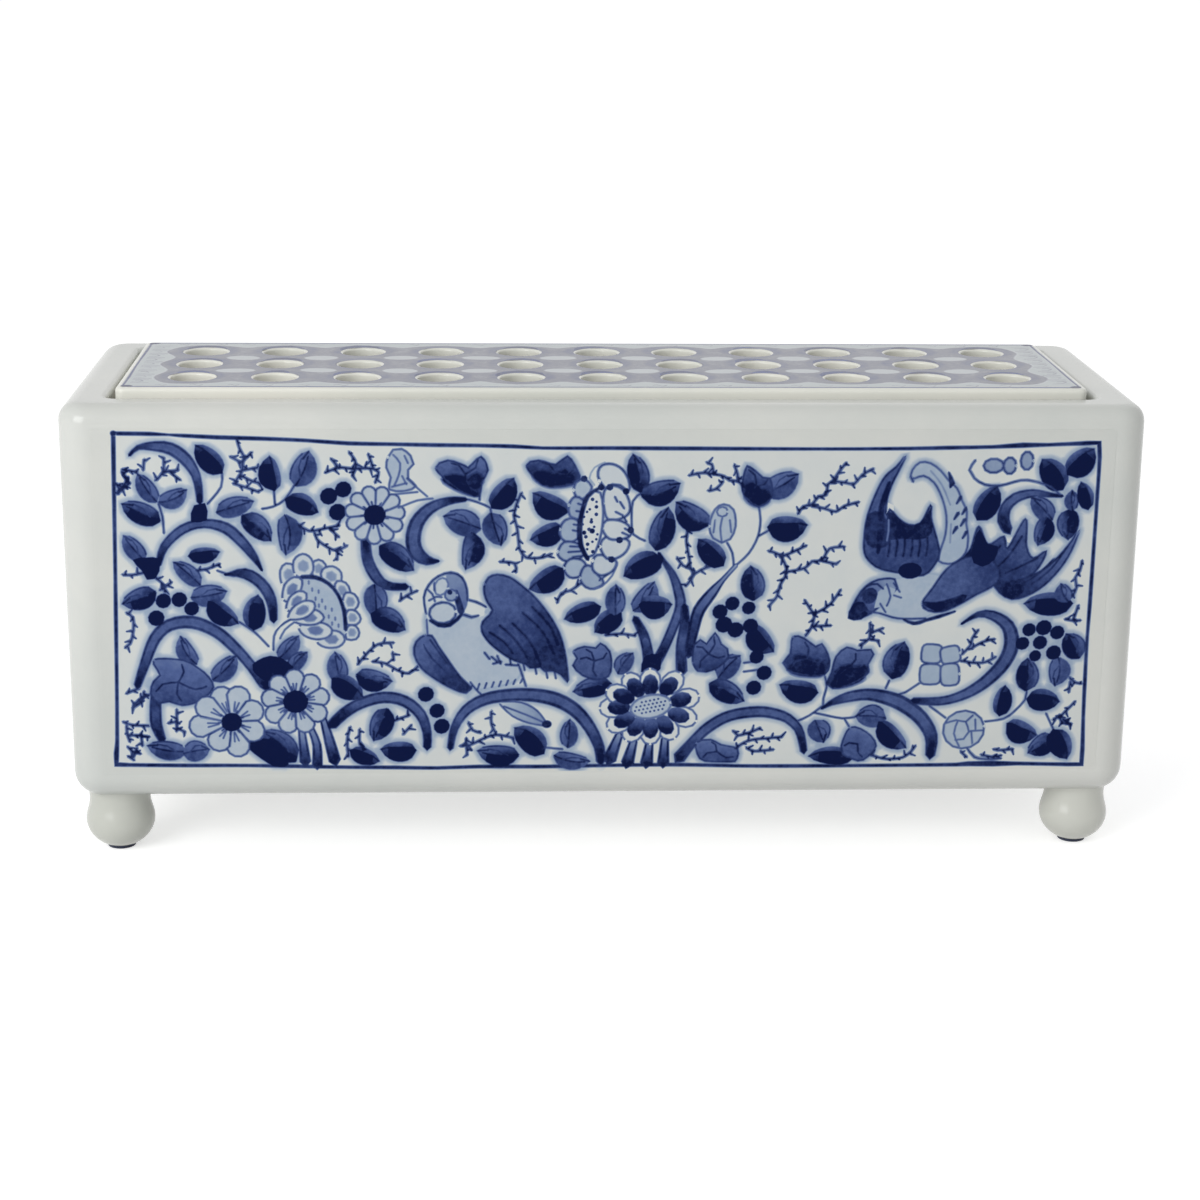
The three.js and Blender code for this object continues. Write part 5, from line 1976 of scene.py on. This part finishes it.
ends = {"centre": 80.6, "half": 33.4, "edge": 35.6, "bottom": 8.6, "top": 88.2, "line": 0.85}
endBorder = boxLine(-ends["half"], ends["half"], ends["bottom"], ends["top"], ends["line"])
endSkins = []
for name, middle, place in (
    ("painted_left_end", -ends["centre"], onLeftEnd),
    ("painted_right_end", ends["centre"], onRightEnd),
):
    chosen = motifsWithin(frontMarks, middle - ends["half"] + 0.4, middle + ends["half"] - 0.4)
    shifted = moved(chosen, lambda p: p - [middle, 0])
    endSkins.append(paintedPanel(name, ends["edge"], endBorder, shifted, place))
for skin in (frontSkin, backSkin, *endSkins):
    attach(skin, "vase")


# The lid's top: a grey wash with a scalloped edge, pale ovals between the holes, a fine blue line

lidPaintLook = {
    **paintLook,
    "gloss": 0.08,
    "ground": (202, 209, 210),
    "haze": (186, 195, 200),
    "tones": [
        (0.08, (208, 214, 217)), (0.3, (184, 189, 198)), (0.5, (138, 140, 153)), (0.62, (116, 121, 146)),
        (0.8, (58, 76, 136)), (1.0, (18, 30, 88))
    ],
}


def lidMarks():
    begin()
    chance = random.Random(29)
    marks = []
    long, deep = lid["pitchLong"], lid["pitchDeep"]
    lastX, lastY = long * (lid["columns"] - 1) / 2, deep
    edge = []
    for column in range(lid["columns"]):
        x = column * long - lastX
        edge += [
            (x - long * 0.3, -lastY - 7.1), (x, -lastY - 8.3 + chance.uniform(-0.4, 0.3)),
            (x + long * 0.3, -lastY - 7.1)
        ]
        if column < lid["columns"] - 1:
            edge.append((x + long / 2, -lastY - 5.2 + chance.uniform(-0.5, 0.5)))
    for row in range(lid["rows"]):
        y = row * deep - lastY
        edge += [(lastX + 9.2 + chance.uniform(-0.6, 0.6), y)]
        if row < lid["rows"] - 1:
            edge.append((lastX + 6.6, y + deep / 2))
    edge += [(-x, -y) for x, y in edge]
    patch(marks, edge, 0.5, 1.6, 0.7)
    for x, y, _, _ in lidHoles():
        patch(marks, ellipse(x, y, 7.6, 7.2, chance.uniform(0, 90), 16), 0.53, 1.6, 1.4)
        shiftX = chance.uniform(-0.5, 0.5)
        darker = ellipse(x + shiftX, y + 1.5, 7.2, 6.4, chance.uniform(-15, 15), 16)
        patch(marks, darker, 0.6, 1.6, 1.2)
    for column in range(lid["columns"] - 1):
        for row in range(lid["rows"] - 1):
            x, y = (column + 0.5) * long - lastX, (row + 0.5) * deep - lastY
            spot = x + chance.uniform(-0.5, 0.5), y + chance.uniform(-0.4, 0.4)
            size = chance.uniform(3.8, 4.5), chance.uniform(2.1, 2.7)
            patch(marks, ellipse(*spot, *size, chance.uniform(-8, 8), 14), 0.16, 1.4, 0.6)
    reach = lid["holeDiameter"] / 2 + lid["holeEdge"]
    for x, y, _, _ in lidHoles():
        # the brush touched the far side of most holes
        if chance.random() < 0.84:
            first, last = math.radians(chance.uniform(25, 70)), math.radians(chance.uniform(110, 165))
            wide = chance.uniform(1.5, 3.1)
            arc = []
            for step in range(7):
                angle = first + (last - first) * step / 6
                swell = 0.35 + wide * math.sin(math.pi * step / 6)
                out = reach + 0.15 + swell / 2
                arc.append((x + out * math.cos(angle), y + out * math.sin(angle), swell))
            brushLine(marks, arc, chance.uniform(0.82, 0.98), None, wholeStep)
    # faint curls fill the pale border
    for side in (-1, 1):
        for k in range(26):
            x, y = -104 + 8.3 * k + chance.uniform(-1, 1), side * (lid["depth"] / 2 - 3.9)
            curl = chance.uniform(0.6, 0.9)
            shape = ((-2, 0), (-1, 0.7), (0, -0.2), (0.8, -0.8), (1.8, 0.3))
            line = [(x + across * curl, y + up) for across, up in shape]
            brushLine(marks, line, chance.uniform(0.4, 0.62), 0.34)
        for k in range(9):
            x, y = side * (lid["length"] / 2 - 4.6), -22 + 5.5 * k
            shape = ((-1.4, -1), (0, -1.4), (1.2, -0.2), (0.4, 1), (-0.8, 0.8))
            brushLine(marks, [(x + across, y + up) for across, up in shape], chance.uniform(0.45, 0.66), 0.34)
            for reach, rise in ((2.8, 2.4), (2.2, 1.2), (2.6, -2.2)):
                far = (x + side * 1.6, y + rise + chance.uniform(-0.3, 0.3))
                brushLine(marks, [(x - side * reach, y + rise), far], 0.55, 0.4)
    line = {"x": lid["length"] / 2 - 1.7, "y": lid["depth"] / 2 - 1.7}
    brushLine(marks, boxLine(-line["x"], line["x"], -line["y"], line["y"], 0.7), 0.86, None, 6)
    for side in (-1, 1):
        wider = [(-line["x"], 0, 1.5), (0, 0.1, 1.2), (line["x"], 0, 1.5)]
        brushLine(marks, [(x, side * (line["y"] + out), width) for x, out, width in wider], 0.72, None, 6)
    for x, y in ((-1, -1), (1, -1), (1, 1), (-1, 1)):
        patch(marks, ellipse(x * (line["x"] - 0.7), y * (line["y"] - 0.5), 1.5, 1.2, 20, 9), 1.1)
    return marks


lidPaint = paintFinish("lidPaint", lidPaintLook)
skinInset = lid["edgeRadius"] + 0.35
lidEdge = roundedRing(lid["length"] - 2 * skinInset, lid["depth"] - 2 * skinInset, 1, 6)
openings = [holeRing(hole, lid["holeEdge"] + 0.1) for hole in lidHoles()]


def onLid(x, y, deep):
    return x, y, lid["top"] - deep


lidSkin = paintedSkin("painted_lid", lidEdge, lidMarks(), lidEdge, onLid, lidPaint, openings)
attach(lidSkin, "lid")
print("faces painted")


# Table, light and camera

studio = {
    "world": 0.555,
    "floor": (236, 236, 236),
    "keyPower": 6.6,
    "keyAt": (-0.7, -0.85, 0.48),
    "keySize": 0.65,
    "fillPower": 1.15,
    "fillAt": (0.5, 1.1, 1.0),
    "fillSize": 1.2,
}

cameraLook = {
    "at": (-30.301, -621.785, 228.804),
    "yaw": 0.049868,
    "pitch": 0.275256,
    "roll": 0.010955,
    "lens": 2557.387 * 36 / 1200,
}


def areaLamp(name, at, target, size, power):
    lamp = bpy.data.lights.new(name, "AREA")
    lamp.shape = "SQUARE"
    lamp.size = size
    lamp.energy = power
    holder = bpy.data.objects.new(name, lamp)
    bpy.context.scene.collection.objects.link(holder)
    holder.location = at
    holder.rotation_euler = (Vector(target) - Vector(at)).to_track_quat("-Z", "Y").to_euler()


def whiteToCamera(tree):
    # 1 where the white background shows itself, directly or in a reflection
    path = nodeAt(tree, "ShaderNodeLightPath")
    seen = mathOn(tree, "MAXIMUM", path.outputs["Is Camera Ray"], path.outputs["Is Glossy Ray"])
    return mathOn(tree, "MAXIMUM", seen, path.outputs["Is Transmission Ray"])


areaLamp("keyLamp", studio["keyAt"], (0, 0, 0.06), studio["keySize"], studio["keyPower"])
areaLamp("fillLamp", studio["fillAt"], (0, 0, 0.06), studio["fillSize"], studio["fillPower"])

world = bpy.data.worlds.new("studio")
bpy.context.scene.world = world
world.use_nodes = True
tree = world.node_tree
tree.nodes.clear()
ambient = nodeAt(tree, "ShaderNodeBackground")
ambient.inputs["Strength"].default_value = studio["world"]
paper = nodeAt(tree, "ShaderNodeBackground")
paper.inputs["Strength"].default_value = 1
for background in (ambient, paper):
    background.inputs["Color"].default_value = (1, 1, 1, 1)
either = nodeAt(tree, "ShaderNodeMixShader")
tree.links.new(whiteToCamera(tree), either.inputs[0])
tree.links.new(ambient.outputs[0], either.inputs[1])
tree.links.new(paper.outputs[0], either.inputs[2])
tree.links.new(either.outputs[0], nodeAt(tree, "ShaderNodeOutputWorld").inputs[0])

floorPaper = bpy.data.materials.new("floorPaper")
floorPaper.use_nodes = True
tree = floorPaper.node_tree
tree.nodes.clear()
matt = nodeAt(tree, "ShaderNodeBsdfDiffuse")
matt.inputs["Color"].default_value = linear(studio["floor"])
lift = nodeAt(tree, "ShaderNodeEmission")
tree.links.new(mathOn(tree, "MULTIPLY", whiteToCamera(tree), 0.56), lift.inputs["Strength"])
total = nodeAt(tree, "ShaderNodeAddShader")
tree.links.new(matt.outputs[0], total.inputs[0])
tree.links.new(lift.outputs[0], total.inputs[1])
tree.links.new(total.outputs[0], nodeAt(tree, "ShaderNodeOutputMaterial").inputs[0])
reach = 9000  # the table runs far past the view
tableCorners = [(-reach, -reach, 0), (reach, -reach, 0), (reach, reach, 0), (-reach, reach, 0)]
table = pieceFrom(meshFrom("table", tableCorners, [(0, 1, 2, 3)], False), floorPaper)

yaw, pitch, roll = cameraLook["yaw"], cameraLook["pitch"], cameraLook["roll"]
ahead = Vector((math.sin(yaw) * math.cos(pitch), math.cos(yaw) * math.cos(pitch), -math.sin(pitch)))
level = Vector((math.cos(yaw), -math.sin(yaw), 0))
upward = level.cross(ahead)
right = level * math.cos(roll) + upward * math.sin(roll)
above = upward * math.cos(roll) - level * math.sin(roll)
lens = bpy.data.cameras.new("camera")
lens.sensor_width = 36
lens.lens = cameraLook["lens"]
lens.clip_end = 100
camera = bpy.data.objects.new("camera", lens)
bpy.context.scene.collection.objects.link(camera)
turned = Matrix((right, above, -ahead)).transposed().to_4x4()
camera.matrix_world = Matrix.Translation(Vector(cameraLook["at"]) * mm) @ turned
bpy.context.scene.camera = camera
bpy.context.scene.view_settings.view_transform = "Standard"
print("studio made")
